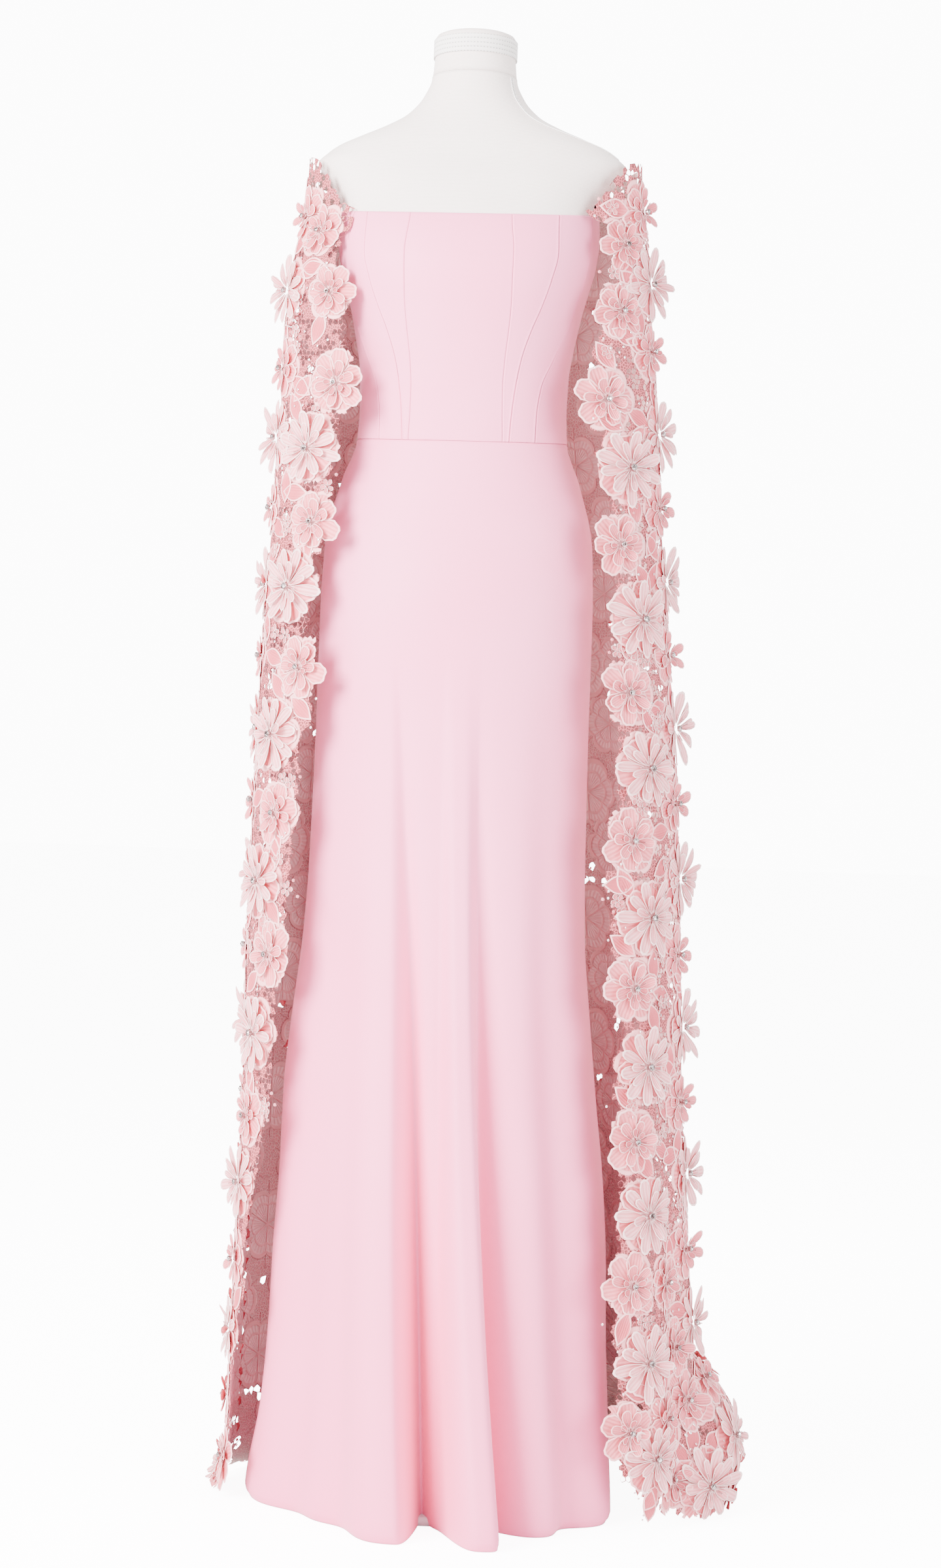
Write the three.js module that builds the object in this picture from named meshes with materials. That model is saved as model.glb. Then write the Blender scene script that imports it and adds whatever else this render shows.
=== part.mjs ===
import * as THREE from 'three';

// Cape gown on a limbless dress form.
// A crepe bodice and floor-length skirt are worn on the form, and a long lace cape with
// raised flowers hangs from two shoulder straps and ends in a small train at the back.
// Millimetres, +Z up, the front faces -Y. Everything is made about the form's upright
// axis, and the last lines centre the footprint on the origin.

// Driving sizes
const gownWall = 1.6;
const laceWall = 2;
const seamGap = 0.3;
const formClearance = 0.4;
const hipClearance = 3.5;
const waistHeight = 1224;
const firmHeight = 1245;
const bodiceTop = 1487;
const formBottom = 930;
const neckHeight = 1640;
const totalHeight = 1690;
const hemHeight = 0.6;
const flareHeight = 1000;
const degree = Math.PI / 180;

// Outer surface of the gown's upper part, carried on upwards as the form's own shoulders.
const bodySections = {
  columns: ['height', 'half', 'front', 'back', 'square'],
  rows: [
    [930, 157, 112, 124, 2.1],
    [1014, 157, 112, 122, 2.1],
    [1104, 154, 108, 112, 2.1],
    [1180, 136, 99, 96, 2.1],
    [1224, 121, 93, 84, 2.15],
    [1262, 119, 93, 82, 2.2],
    [1300, 120, 97, 83, 2.2],
    [1340, 126, 105, 87, 2.25],
    [1375, 133, 114, 91, 2.3],
    [1405, 141, 121, 94, 2.35],
    [1430, 147, 124, 97, 2.35],
    [1460, 150, 119, 98, 2.35],
    [1487, 149, 109, 97, 2.3],
    [1505, 156, 98, 95, 2.2],
    [1525, 170, 86, 90, 2.1],
    [1541, 180, 75, 82, 2],
    [1550, 171, 70, 78, 2],
    [1558, 160, 66, 74, 2],
    [1570, 134, 61, 68, 2],
    [1582, 105, 57, 63, 2],
    [1596, 79, 54, 59, 2],
    [1617, 60, 52, 54, 2],
    [1640, 51, 51, 51, 2],
  ],
};

// Skirt sections before its folds.
const skirtSections = {
  columns: ['height', 'right', 'left', 'front', 'back'],
  rows: [
    [0, 212, 206, 150, 196],
    [113, 207, 191, 144, 186],
    [203, 202, 186, 138, 176],
    [293, 199, 184, 133, 166],
    [383, 192, 180, 128, 158],
    [473, 181, 179, 122, 150],
    [563, 171, 172, 118, 142],
    [653, 162, 163, 115, 134],
    [743, 159, 159, 114, 128],
    [924, 157, 157, 112, 124],
    [1014, 157, 157, 112, 122],
    [1104, 154, 154, 108, 112],
    [1180, 136, 136, 99, 96],
    [1224, 121, 121, 93, 84],
  ],
};
const skirtSquare = 2.1;

// Skirt folds: angle from the front at the flare and at the hem, how late the fold drifts,
// half width in degrees on its two sides, and depth at the hem, below zero for a valley.
const skirtFolds = {
  columns: ['top', 'hem', 'drift', 'before', 'after', 'depth'],
  rows: [
    [-34, -3.5, 0.9, 20, 5.5, 60],
    [-26, 6, 0.9, 5, 10, -33],
    [8, 22, 1, 6, 6, 82],
    [21, 31, 1, 5, 10, -16],
    [40, 47, 1, 11, 11, 26],
    [54, 60, 1, 7, 7, -10],
    [66, 72, 1, 10, 10, 16],
    [-58, -60, 1, 14, 14, -22],
    [-96, -98, 1, 12, 12, 8],
    [104, 106, 1, 12, 12, -14],
    [128, 130, 1, 13, 13, 20],
    [152, 153, 1, 10, 10, -18],
    [176, 176, 1, 12, 12, 22],
    [-126, -128, 1, 13, 13, 20],
    [-152, -153, 1, 11, 11, -16],
  ],
};
const skirtFrontColumns = [
  -90, -82, -74, -66, -58, -50, -42, -34, -28, -23, -18, -13, -9, -6, -3, 0, 3, 6, 10, 14,
  17, 20, 23, 26, 29, 33, 38, 44, 50, 58, 66, 74, 82, 90,
];
const foldGrowth = 1.5;

// Bodice seams on the right half: distance of each seam from the centre plane.
const bodiceSeams = {
  columns: ['height', 'inner', 'princess', 'sideFront'],
  rows: [
    [1223, 53.5, 61, 89],
    [1254, 52.5, 62.5, 89.5],
    [1287, 52, 66, 93.5],
    [1320, 54, 72, 106],
    [1352, 57.5, 82, 119],
    [1381, 60, 93.5, 128],
    [1412, 61, 103.5, 137],
    [1443, 61.5, 110, 142],
    [1487, 57.5, 109, 143],
  ],
};
const sideSeamAngle = 100;
const backColumns = 5;

// Cape sections: how far the hanging lace stands from the form's axis.
const capeSections = {
  columns: ['height', 'left', 'right', 'front', 'back'],
  rows: [
    [0, 236, 302, 158, 272],
    [60, 233, 299, 158, 262],
    [160, 231, 295, 158, 246],
    [296, 229, 285, 156, 222],
    [476, 227, 274, 152, 202],
    [656, 228, 266, 146, 186],
    [837, 225, 257, 138, 172],
    [1018, 221, 241, 128, 156],
    [1198, 213, 226, 116, 138],
    [1378, 207, 212, 108, 122],
    [1440, 199, 206, 104, 116],
    [1466, 193, 203, 99, 112],
    [1487, 191, 200, 92.4, 109],
    [1541, 188, 196, 88, 98],
  ],
};

// Front edges of the cape: distance from the centre plane.
const capeEdges = {
  columns: ['height', 'left', 'right'],
  rows: [
    [0, 231, 219],
    [142, 219, 208],
    [324, 198, 204],
    [500, 173, 202],
    [563, 172, 200],
    [608, 170, 192],
    [687, 160, 183],
    [744, 156, 187],
    [914, 149, 184],
    [1094, 146, 171],
    [1195, 126, 161],
    [1231, 119, 152],
    [1339, 117, 144],
    [1380, 122, 152],
    [1428, 144, 166],
    [1455, 134, 176],
    [1470, 126, 172],
    [1480, 125, 146],
    [1487, 124, 128],
  ],
};

// Top edge of the cape and its straps, by the angle from the front.
const capeTop = {
  columns: ['angle', 'height'],
  rows: [
    [40, 1487],
    [47, 1494],
    [52, 1506],
    [58, 1522],
    [69, 1539],
    [85, 1543],
    [105, 1540],
    [140, 1526],
    [180, 1514],
  ],
};

// How the lace reaches the floor, by angle from the front, left side below zero: the height
// where it starts to spread, how far it spreads, how round the spread is, and the hem's lift.
const capeHem = {
  columns: ['angle', 'start', 'reach', 'round', 'lift'],
  rows: [
    [-180, 90, 190, 0, 0],
    [-150, 80, 140, 0, 0],
    [-120, 60, 50, 0, 0],
    [-100, 50, 24, 0.2, 0],
    [-75, 30, 2, 0, 4],
    [0, 30, 0, 0, 40],
    [50, 30, 0, 0, 42],
    [70, 60, 6, 0, 20],
    [88, 130, 24, 0.6, 0],
    [110, 190, 62, 1, 0],
    [135, 140, 104, 0.5, 0],
    [160, 100, 160, 0.1, 0],
    [180, 90, 190, 0, 0],
  ],
};

// Soft hanging folds of the cape: angle, half width in degrees and depth at the hem.
const capeFolds = {
  columns: ['angle', 'width', 'depth'],
  rows: [
    [-168, 9, -22],
    [-146, 9, 24],
    [-124, 8, -18],
    [-104, 8, 8],
    [76, 8, -12],
    [97, 8, 10],
    [122, 9, -20],
    [145, 9, 24],
    [166, 9, -18],
  ],
};
const capeFoldTop = 1450;

// Where the spread is round, the lace heaps up: it swings out by more than its reach and
// turns back in at the floor.
const moundReach = 1.3;
const moundTurn = 0.8 * Math.PI;

// Rows of flowers on the cape
const flowerRows = { start: 1291, spread: 7, pitch: 85.3, pitchSpread: -1.4, count: 16 };
const panelSeamAngle = 105;
const frontColumnSplit = 0.52;
const backTiles = 3;
const flowerBig = { petals: 5, tip: 37, notch: 22, rim: 0.84, lift: 12, centre: 6 };
const flowerFlat = { petals: 5, tip: 32, notch: 21, rim: 0.86, lift: 5, centre: 3 };
const gapRadius = 5;

function clamp(value, low, high) {
  return Math.min(high, Math.max(low, value));
}

function mix(from, to, share) {
  return from + (to - from) * share;
}

// Slope of a table column at a row, kept between its neighbours' slopes so that it
// never swings past a row.
function rowSlope(rows, index, column) {
  if (index === 0 || index === rows.length - 1) {
    return 0;
  }
  const before = (rows[index][column] - rows[index - 1][column]) / (rows[index][0] - rows[index - 1][0]);
  const after = (rows[index + 1][column] - rows[index][column]) / (rows[index + 1][0] - rows[index][0]);
  if (before * after <= 0) {
    return 0;
  }
  return 2 * before * after / (before + after);
}

// Value of a named column between the rows of a table, on a smooth curve.
function read(table, name, at) {
  const column = table.columns.indexOf(name);
  const rows = table.rows;
  const last = rows.length - 1;
  const place = clamp(at, rows[0][0], rows[last][0]);
  let index = 0;
  while (index < last - 1 && place > rows[index + 1][0]) {
    index += 1;
  }
  const span = rows[index + 1][0] - rows[index][0];
  const t = (place - rows[index][0]) / span;
  const startSlope = rowSlope(rows, index, column) * span;
  const endSlope = rowSlope(rows, index + 1, column) * span;
  const start = rows[index][column];
  const end = rows[index + 1][column];
  const rise = t * t * (3 - 2 * t);
  return start + (end - start) * rise + startSlope * t * (1 - t) * (1 - t) - endSlope * t * t * (1 - t);
}

// Shortest turn from one angle to another, in degrees.
function turn(angle, other) {
  return ((angle - other + 540) % 360 + 360) % 360 - 180;
}

// Radius of a rounded section with its own reach to each side.
function sectionRadius(angle, side, depth, square) {
  const across = Math.abs(Math.sin(angle * degree)) / side;
  const along = Math.abs(Math.cos(angle * degree)) / depth;
  return (across ** square + along ** square) ** (-1 / square);
}

function polar(angle, radius, height) {
  return new THREE.Vector3(radius * Math.sin(angle * degree), -radius * Math.cos(angle * degree), height);
}

function bodyPoint(angle, height) {
  const depth = Math.abs(turn(angle, 0)) < 90 ? 'front' : 'back';
  const radius = sectionRadius(
    angle,
    read(bodySections, 'half', height),
    read(bodySections, depth, height),
    read(bodySections, 'square', height),
  );
  return polar(angle, radius, height);
}

function skirtPoint(angle, height) {
  const side = turn(angle, 0) > 0 ? 'right' : 'left';
  const depth = Math.abs(turn(angle, 0)) < 90 ? 'front' : 'back';
  const radius = sectionRadius(
    angle,
    read(skirtSections, side, height),
    read(skirtSections, depth, height),
    skirtSquare,
  );
  const fall = clamp((flareHeight - height) / flareHeight, 0, 1);
  let folds = 0;
  for (const [top, hem, drift, before, after, depthAtHem] of skirtFolds.rows) {
    const away = turn(angle, mix(top, hem, fall ** drift));
    const share = away / (away < 0 ? before : after);
    folds += depthAtHem * Math.exp(-share * share);
  }
  return polar(angle, radius + folds * fall ** foldGrowth, height);
}

// A point of the hanging lace. The height is measured along the hanging line: below the
// start of the spread the lace turns outwards on to the floor.
function capePoint(angle, lineHeight) {
  const side = turn(angle, 0) > 0 ? 'right' : 'left';
  const depth = Math.abs(turn(angle, 0)) < 90 ? 'front' : 'back';
  const height = Math.max(lineHeight, 0);
  let outward = 0;
  for (const [foldAngle, width, depthAtHem] of capeFolds.rows) {
    const away = turn(angle, foldAngle) / width;
    outward += depthAtHem * Math.exp(-away * away);
  }
  outward *= clamp((capeFoldTop - height) / capeFoldTop, 0, 1) ** foldGrowth;
  const start = read(capeHem, 'start', turn(angle, 0));
  const spread = clamp((start - lineHeight) / start, 0, 1.02);
  const round = read(capeHem, 'round', turn(angle, 0));
  const reach = read(capeHem, 'reach', turn(angle, 0));
  const quarter = spread * Math.PI / 2;
  const mound = moundReach * Math.sin(moundTurn * spread);
  outward += reach * mix(1 - Math.cos(quarter), mound, round);
  const drop = spread > 0 ? start * mix(1 - Math.sin(quarter), 1 - spread, round) : height;
  const across = Math.sin(angle * degree);
  const along = -Math.cos(angle * degree);
  return new THREE.Vector3(
    read(capeSections, side, height) * across + outward * across,
    read(capeSections, depth, height) * along + outward * along,
    Math.max(drop, 0) + hemHeight + laceWall,
  );
}

// A closed wall over a surface. Its outer skin and plain inner skin are triangles in the
// surface's two directions, and rims close the wall round every free edge.
class Wall {
  constructor(place, thickness, hand, seams = {}) {
    this.place = place;
    this.thickness = thickness;
    this.hand = hand;
    this.seams = seams;
    this.vertices = [];
    this.keys = new Map();
    this.outer = [];
    this.inner = [];
  }

  vertex(across, down, lift = 0) {
    const key = [across.toFixed(5), down.toFixed(5), lift].join(' ');
    if (!this.keys.has(key)) {
      this.keys.set(key, this.vertices.length);
      this.vertices.push({ across, down, lift });
    }
    return this.keys.get(key);
  }

  turned(triangle) {
    const [a, b, c] = triangle.map((index) => this.vertices[index]);
    const area = (b.across - a.across) * (c.down - a.down) - (c.across - a.across) * (b.down - a.down);
    return area > 0 ? triangle : [triangle[0], triangle[2], triangle[1]];
  }

  add(skins, a, b, c) {
    for (const skin of skins) {
      skin.push(this.turned([a, b, c]));
    }
  }

  grid(columns, rows) {
    for (let i = 0; i < columns.length - 1; i += 1) {
      for (let j = 0; j < rows.length - 1; j += 1) {
        const a = this.vertex(columns[i], rows[j]);
        const b = this.vertex(columns[i + 1], rows[j]);
        const c = this.vertex(columns[i + 1], rows[j + 1]);
        const d = this.vertex(columns[i], rows[j + 1]);
        this.add([this.outer, this.inner], a, b, c);
        this.add([this.outer, this.inner], a, c, d);
      }
    }
  }

  // Outer and inner point of a vertex, pulled back from a seam by half its gap.
  solve({ across, down, lift }) {
    const step = 0.01;
    const point = this.place(across, down);
    const alongAcross = this.place(across + step, down).sub(this.place(across - step, down)).normalize();
    const alongDown = this.place(across, down + step).sub(this.place(across, down - step)).normalize();
    const outward = alongAcross.clone().cross(alongDown).multiplyScalar(this.hand).normalize();
    const { low, high, top, bottom } = this.seams;
    const pull = (seamAt, value, direction, sign) => {
      if (seamAt !== undefined && Math.abs(value - seamAt) < 1e-6) {
        point.addScaledVector(direction, sign * seamGap / 2);
      }
    };
    pull(low, across, alongAcross, 1);
    pull(high, across, alongAcross, -1);
    pull(top, down, alongDown, 1);
    pull(bottom, down, alongDown, -1);
    return {
      outerPoint: point.clone().addScaledVector(outward, lift),
      innerPoint: point.clone().addScaledVector(outward, -this.thickness),
    };
  }

  geometry() {
    const solved = this.vertices.map((vertex) => this.solve(vertex));
    const positions = [];
    const emit = (a, b, c) => {
      const ordered = this.hand > 0 ? [a, b, c] : [a, c, b];
      for (const point of ordered) {
        positions.push(point.x, point.y, point.z);
      }
    };
    const edges = new Set();
    for (const [a, b, c] of this.outer) {
      emit(solved[a].outerPoint, solved[b].outerPoint, solved[c].outerPoint);
      edges.add(`${a} ${b}`).add(`${b} ${c}`).add(`${c} ${a}`);
    }
    for (const [a, b, c] of this.inner) {
      emit(solved[a].innerPoint, solved[c].innerPoint, solved[b].innerPoint);
    }
    for (const edge of edges) {
      const [a, b] = edge.split(' ').map(Number);
      if (!edges.has(`${b} ${a}`)) {
        emit(solved[a].outerPoint, solved[a].innerPoint, solved[b].outerPoint);
        emit(solved[b].outerPoint, solved[a].innerPoint, solved[b].innerPoint);
      }
    }
    const geometry = new THREE.BufferGeometry();
    geometry.setAttribute('position', new THREE.Float32BufferAttribute(positions, 3));
    geometry.computeVertexNormals();
    return geometry;
  }
}

const part = new THREE.Group();

// The tables' heights are read at the form's axis. What stands in front of the axis looks
// higher than it is from eye height, so it comes down in proportion, up to the bodice's top.
const eyeHeight = 829;
const viewDistance = 3500;
const dropFadeTop = 1560;
const dropBlend = 40;
function seatedHeight(y, z) {
  const rise = Math.max(z - eyeHeight, 0);
  const fade = Math.min(Math.max((dropFadeTop - z) / (dropFadeTop - bodiceTop), 0), 1);
  const forward = (Math.hypot(y, dropBlend) - y) / 2;
  return z - rise * fade * forward / viewDistance;
}

function addMesh(name, geometry, material) {
  const points = geometry.attributes.position;
  for (let i = 0; i < points.count; i += 1) {
    points.setZ(i, seatedHeight(points.getY(i), points.getZ(i)));
  }
  geometry.computeVertexNormals();
  const mesh = new THREE.Mesh(geometry, material);
  mesh.name = name;
  part.add(mesh);
}

function steps(from, to, count) {
  return Array.from({ length: count + 1 }, (unused, index) => mix(from, to, index / count));
}

// Bodice

const crepe = new THREE.MeshStandardMaterial({ color: 0xf3d8df, roughness: 0.62, metalness: 0 });
const bodiceHeights = [waistHeight, firmHeight, 1270, 1295, 1320, 1345, 1370, 1395, 1420, 1450, bodiceTop];

// Angle of a seam that lies a stated distance from the centre plane. Above and below the
// bodice its columns keep their angle.
function seamAngle(seam, at) {
  const height = clamp(at, waistHeight, bodiceTop);
  const half = read(bodySections, 'half', height);
  const front = read(bodySections, 'front', height);
  const square = read(bodySections, 'square', height);
  const x = read(bodiceSeams, seam, height);
  const y = front * (1 - (x / half) ** square) ** (1 / square);
  return Math.atan2(x, y) / degree;
}

// Angle of a column of the bodice and the form. Whole and half seams alternate to the side
// seam, and even columns follow it to the centre back.
function columnAngle(column, height) {
  const lines = [
    0,
    seamAngle('inner', height),
    seamAngle('princess', height),
    seamAngle('sideFront', height),
    sideSeamAngle,
  ];
  const sideColumn = 2 * (lines.length - 1);
  const place = Math.abs(column);
  let angle;
  if (place >= sideColumn) {
    angle = mix(sideSeamAngle, 180, (place - sideColumn) / backColumns);
  } else {
    const line = Math.floor(place / 2);
    angle = mix(lines[line], lines[line + 1], place / 2 - line);
  }
  return Math.sign(column) * angle;
}

function bodicePlace(across, down) {
  return bodyPoint(columnAngle(across, -down), -down);
}

const bodicePanels = {
  columns: ['name', 'from', 'to'],
  rows: [
    ['bodice_centre_front', -2, 2],
    ['bodice_front_right', 2, 4],
    ['bodice_front_left', -4, -2],
    ['bodice_side_front_right', 4, 6],
    ['bodice_side_front_left', -6, -4],
    ['bodice_side_right', 6, 8],
    ['bodice_side_left', -8, -6],
    ['bodice_back_right', 8, 8 + backColumns],
    ['bodice_back_left', -8 - backColumns, -8],
  ],
};

for (const [name, from, to] of bodicePanels.rows) {
  const wall = new Wall(bodicePlace, gownWall, -1, { low: from, high: to, bottom: -waistHeight });
  wall.grid(steps(from, to, to - from), bodiceHeights.map((height) => -height));
  addMesh(name, wall.geometry(), crepe);
}

// Skirt

const skirtHeights = [waistHeight, 1180, 1104, 1000, 840, 680, 540, 410, 290, 180, 80, hemHeight];

const skirtPanels = {
  columns: ['name', 'angles'],
  rows: [
    ['skirt_front', skirtFrontColumns],
    ['skirt_back_right', steps(90, 180, 9)],
    ['skirt_back_left', steps(-180, -90, 9)],
  ],
};

function skirtPlace(across, down) {
  return skirtPoint(across, -down);
}

for (const [name, angles] of skirtPanels.rows) {
  const seams = { low: angles[0], high: angles[angles.length - 1], top: -waistHeight };
  const wall = new Wall(skirtPlace, gownWall, -1, seams);
  wall.grid(angles, skirtHeights.map((height) => -height));
  addMesh(name, wall.geometry(), crepe);
}

// Lace cape and straps

const lace = new THREE.MeshStandardMaterial({ color: 0xf0cdd0, roughness: 0.75, metalness: 0 });
const firstRow = -1.5;
const lastRow = firstRow + flowerRows.count;
const hemRows = 2;
const strapSteps = { top: 3, bottom: 2, front: 5, back: 1 };

// Height of a line between rows of flowers. The two fronts differ a little in their rows,
// and the difference runs out towards the centre back.
function rowHeight(angle, row) {
  const share = Math.sign(angle) * (1 - Math.abs(angle) / 180);
  const start = flowerRows.start - flowerRows.spread * share;
  const pitch = flowerRows.pitch - flowerRows.pitchSpread * share;
  return start - row * pitch;
}

// Height along the hanging line for a count of rows below the first line.
function lineHeight(angle, down) {
  if (down <= flowerRows.count) {
    return rowHeight(angle, firstRow + down);
  }
  const lift = read(capeHem, 'lift', angle);
  return mix(rowHeight(angle, lastRow), lift, (down - flowerRows.count) / hemRows);
}

function edgeAngle(hand, height) {
  const side = hand > 0 ? 'left' : 'right';
  const reach = read(capeSections, side, height);
  return -hand * Math.asin(read(capeEdges, side, height) / reach) / degree;
}

// Share of the way from the front edge to the panel seam, for one of two tile columns.
function frontShare(across) {
  if (across < 1) {
    return across * frontColumnSplit;
  }
  return mix(frontColumnSplit, 1, across - 1);
}

const nearFrontAngle = 60;

function frontPlace(hand) {
  return (across, down) => {
    const share = frontShare(across);
    const nominal = -hand * mix(nearFrontAngle, panelSeamAngle, share);
    const edge = edgeAngle(hand, lineHeight(-hand * nearFrontAngle, down));
    const angle = mix(edge, -hand * panelSeamAngle, share);
    return capePoint(angle, lineHeight(nominal, down));
  };
}

function strapPlace(hand) {
  return (across, down) => {
    const share = frontShare(across);
    const nominal = -hand * mix(nearFrontAngle, panelSeamAngle, share);
    const rise = -down;
    const edgeBottom = lineHeight(-hand * nearFrontAngle, 0);
    const edge = edgeAngle(hand, mix(edgeBottom, bodiceTop, rise));
    const angle = mix(edge, -hand * panelSeamAngle, share);
    const top = read(capeTop, 'height', Math.abs(angle));
    return capePoint(angle, mix(lineHeight(nominal, 0), top, rise));
  };
}

function backPlace(hand) {
  return (across, down) => {
    const angle = -hand * mix(panelSeamAngle, 180, across / backTiles);
    if (down < 0) {
      const top = read(capeTop, 'height', Math.abs(angle));
      return capePoint(angle, mix(lineHeight(angle, 0), top, -down));
    }
    return capePoint(angle, lineHeight(angle, down));
  };
}

// Outline of a lace tile in shares of its width and height.
function tileOutline(counts) {
  const corners = [[0, 0], [1, 0], [1, 1], [0, 1]];
  const sides = [counts.top, counts.back, counts.bottom, counts.front];
  const outline = [];
  sides.forEach((count, side) => {
    const [x0, y0] = corners[side];
    const [x1, y1] = corners[(side + 1) % 4];
    for (let i = 0; i < count; i += 1) {
      outline.push([mix(x0, x1, i / count), mix(y0, y1, i / count)]);
    }
  });
  return outline;
}

// Ring of a petalled flower, tips and notches in turn, round a place in the tile.
function flowerRing(flower, size, turned) {
  const count = 2 * flower.petals;
  return Array.from({ length: count }, (unused, index) => {
    const angle = index * 2 * Math.PI / count + turned;
    const radius = (index % 2 === 0 ? flower.tip : flower.notch) * size;
    return [radius * Math.cos(angle), radius * Math.sin(angle)];
  });
}

// One tile of the lace: a ground with a raised flower and open gaps round it.
function laceTile(wall, column, row, { counts, flower, shift = 0, gaps = [], scallop = 0, turned = 0 }) {
  const middle = (a, b) => wall.place(column + a, row + b);
  const width = middle(0, 0.5).distanceTo(middle(1, 0.5));
  const tall = middle(0.5, 0).distanceTo(middle(0.5, 1));
  const toShare = ([x, y], centreX, centreY) => [centreX + x / width, centreY + y / tall];
  const outline = tileOutline(counts);
  if (scallop > 0) {
    outline.push([-scallop / width, 0.5]);
  }
  const rings = gaps.map(([x, y]) => {
    const corners = [[gapRadius, 0], [0, gapRadius], [-gapRadius, 0], [0, -gapRadius]];
    return corners.map((corner) => toShare(corner, x, y));
  });
  const centreX = 0.5 + shift;
  let size = 1;
  if (flower) {
    size = Math.min(1, (width * (0.5 - Math.abs(shift)) - 3) / flower.tip, (tall / 2 - 3) / flower.tip);
    rings.push(flowerRing(flower, size, turned).map((point) => toShare(point, centreX, 0.5)));
  }
  const flat = (points) => points.map(([x, y]) => new THREE.Vector2(x * width, y * tall));
  const faces = THREE.ShapeUtils.triangulateShape(flat(outline), rings.map(flat));
  const indices = [outline, ...rings].flat().map(([x, y]) => wall.vertex(column + x, row + y));
  for (const [a, b, c] of faces) {
    wall.add([wall.outer, wall.inner], indices[a], indices[b], indices[c]);
  }
  if (!flower) {
    return;
  }
  const base = rings[rings.length - 1];
  const low = base.map(([x, y]) => wall.vertex(column + x, row + y));
  const high = flowerRing(flower, size * flower.rim, turned).map((point) => {
    const [x, y] = toShare(point, centreX, 0.5);
    return wall.vertex(column + x, row + y, flower.lift);
  });
  const heart = wall.vertex(column + centreX, row + 0.5, flower.centre);
  low.forEach((corner, index) => {
    const next = (index + 1) % low.length;
    wall.add([wall.outer], corner, low[next], high[next]);
    wall.add([wall.outer], corner, high[next], high[index]);
    wall.add([wall.outer], high[index], high[next], heart);
  });
  for (const [a, b, c] of THREE.ShapeUtils.triangulateShape(flat(base), [])) {
    wall.add([wall.inner], low[a], low[b], low[c]);
  }
}

const tileCounts = { top: 2, bottom: 2, front: 1, back: 1 };
const cornerGaps = [[0.12, 0.12], [0.88, 0.14]];
const sideGaps = [[0.14, 0.86]];

for (const [side, hand] of [['left', 1], ['right', -1]]) {
  const strap = new Wall(strapPlace(hand), laceWall, hand, { high: 2, bottom: 0 });
  laceTile(strap, 0, -1, { counts: strapSteps, flower: side === 'left' ? flowerFlat : undefined, shift: 0.05 });
  laceTile(strap, 1, -1, { counts: { ...strapSteps, front: 1 } });
  addMesh(`lace_strap_${side}`, strap.geometry(), lace);

  const front = new Wall(frontPlace(hand), laceWall, hand, { high: 2, top: 0 });
  for (let row = 0; row < flowerRows.count; row += 1) {
    const even = row % 2 === 0;
    const bare = side === 'right' && row === 0;
    laceTile(front, 0, row, {
      counts: tileCounts,
      flower: bare ? undefined : [flowerBig, flowerFlat][row % 2],
      shift: even ? 0.04 : -0.04,
      gaps: row < flowerRows.count - 3 ? cornerGaps : [],
      scallop: 5,
      turned: row,
    });
    laceTile(front, 1, row, {
      counts: tileCounts,
      flower: even ? undefined : flowerBig,
      gaps: row < flowerRows.count - 3 ? sideGaps : [],
      turned: row + 0.5,
    });
  }
  for (let row = flowerRows.count; row < flowerRows.count + hemRows; row += 1) {
    laceTile(front, 0, row, { counts: tileCounts });
    laceTile(front, 1, row, { counts: tileCounts });
  }
  addMesh(`cape_front_${side}`, front.geometry(), lace);

  const back = new Wall(backPlace(hand), laceWall, hand, { low: 0, high: backTiles });
  for (let row = -1; row < flowerRows.count + hemRows; row += 1) {
    for (let column = 0; column < backTiles; column += 1) {
      const hanging = row >= 0 && row < flowerRows.count - 1;
      const flowered = hanging && (row + column) % 2 === 0;
      laceTile(back, column, row, {
        counts: { top: 1, bottom: 1, front: 1, back: 1 },
        flower: flowered ? flowerBig : undefined,
        gaps: hanging && !flowered && row % 2 === 0 ? sideGaps : [],
        turned: row,
      });
    }
  }
  addMesh(`cape_back_${side}`, back.geometry(), lace);
}

// Dress form

const formCloth = new THREE.MeshStandardMaterial({ color: 0xece8e4, roughness: 0.8, metalness: 0 });
const formTrim = new THREE.MeshStandardMaterial({ color: 0xf4f1ee, roughness: 0.7, metalness: 0 });
const formSteel = new THREE.MeshStandardMaterial({ color: 0xd8d8d8, roughness: 0.35, metalness: 0.8 });
const formHeights = [
  formBottom, 970, 1014, 1060, 1104, 1145, 1180, 1205,
  ...bodiceHeights,
  1505, 1525, 1541, 1550, 1558, 1570, 1582, 1596, 1617, neckHeight,
];

// A closed solid through level rings, the lowest first, each turning from the front to the right.
function ringSolid(rings) {
  const positions = [];
  const count = rings[0].length;
  const emit = (...points) => {
    for (const point of points) {
      positions.push(point.x, point.y, point.z);
    }
  };
  const middleOf = (ring) => {
    const middle = new THREE.Vector3();
    ring.forEach((point) => middle.addScaledVector(point, 1 / count));
    return middle;
  };
  const bottom = middleOf(rings[0]);
  const top = middleOf(rings[rings.length - 1]);
  for (let i = 0; i < count; i += 1) {
    const next = (i + 1) % count;
    for (let j = 0; j < rings.length - 1; j += 1) {
      emit(rings[j][i], rings[j][next], rings[j + 1][next]);
      emit(rings[j][i], rings[j + 1][next], rings[j + 1][i]);
    }
    emit(rings[0][next], rings[0][i], bottom);
    emit(rings[rings.length - 1][i], rings[rings.length - 1][next], top);
  }
  const geometry = new THREE.BufferGeometry();
  geometry.setAttribute('position', new THREE.Float32BufferAttribute(positions, 3));
  geometry.computeVertexNormals();
  return geometry;
}

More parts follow.
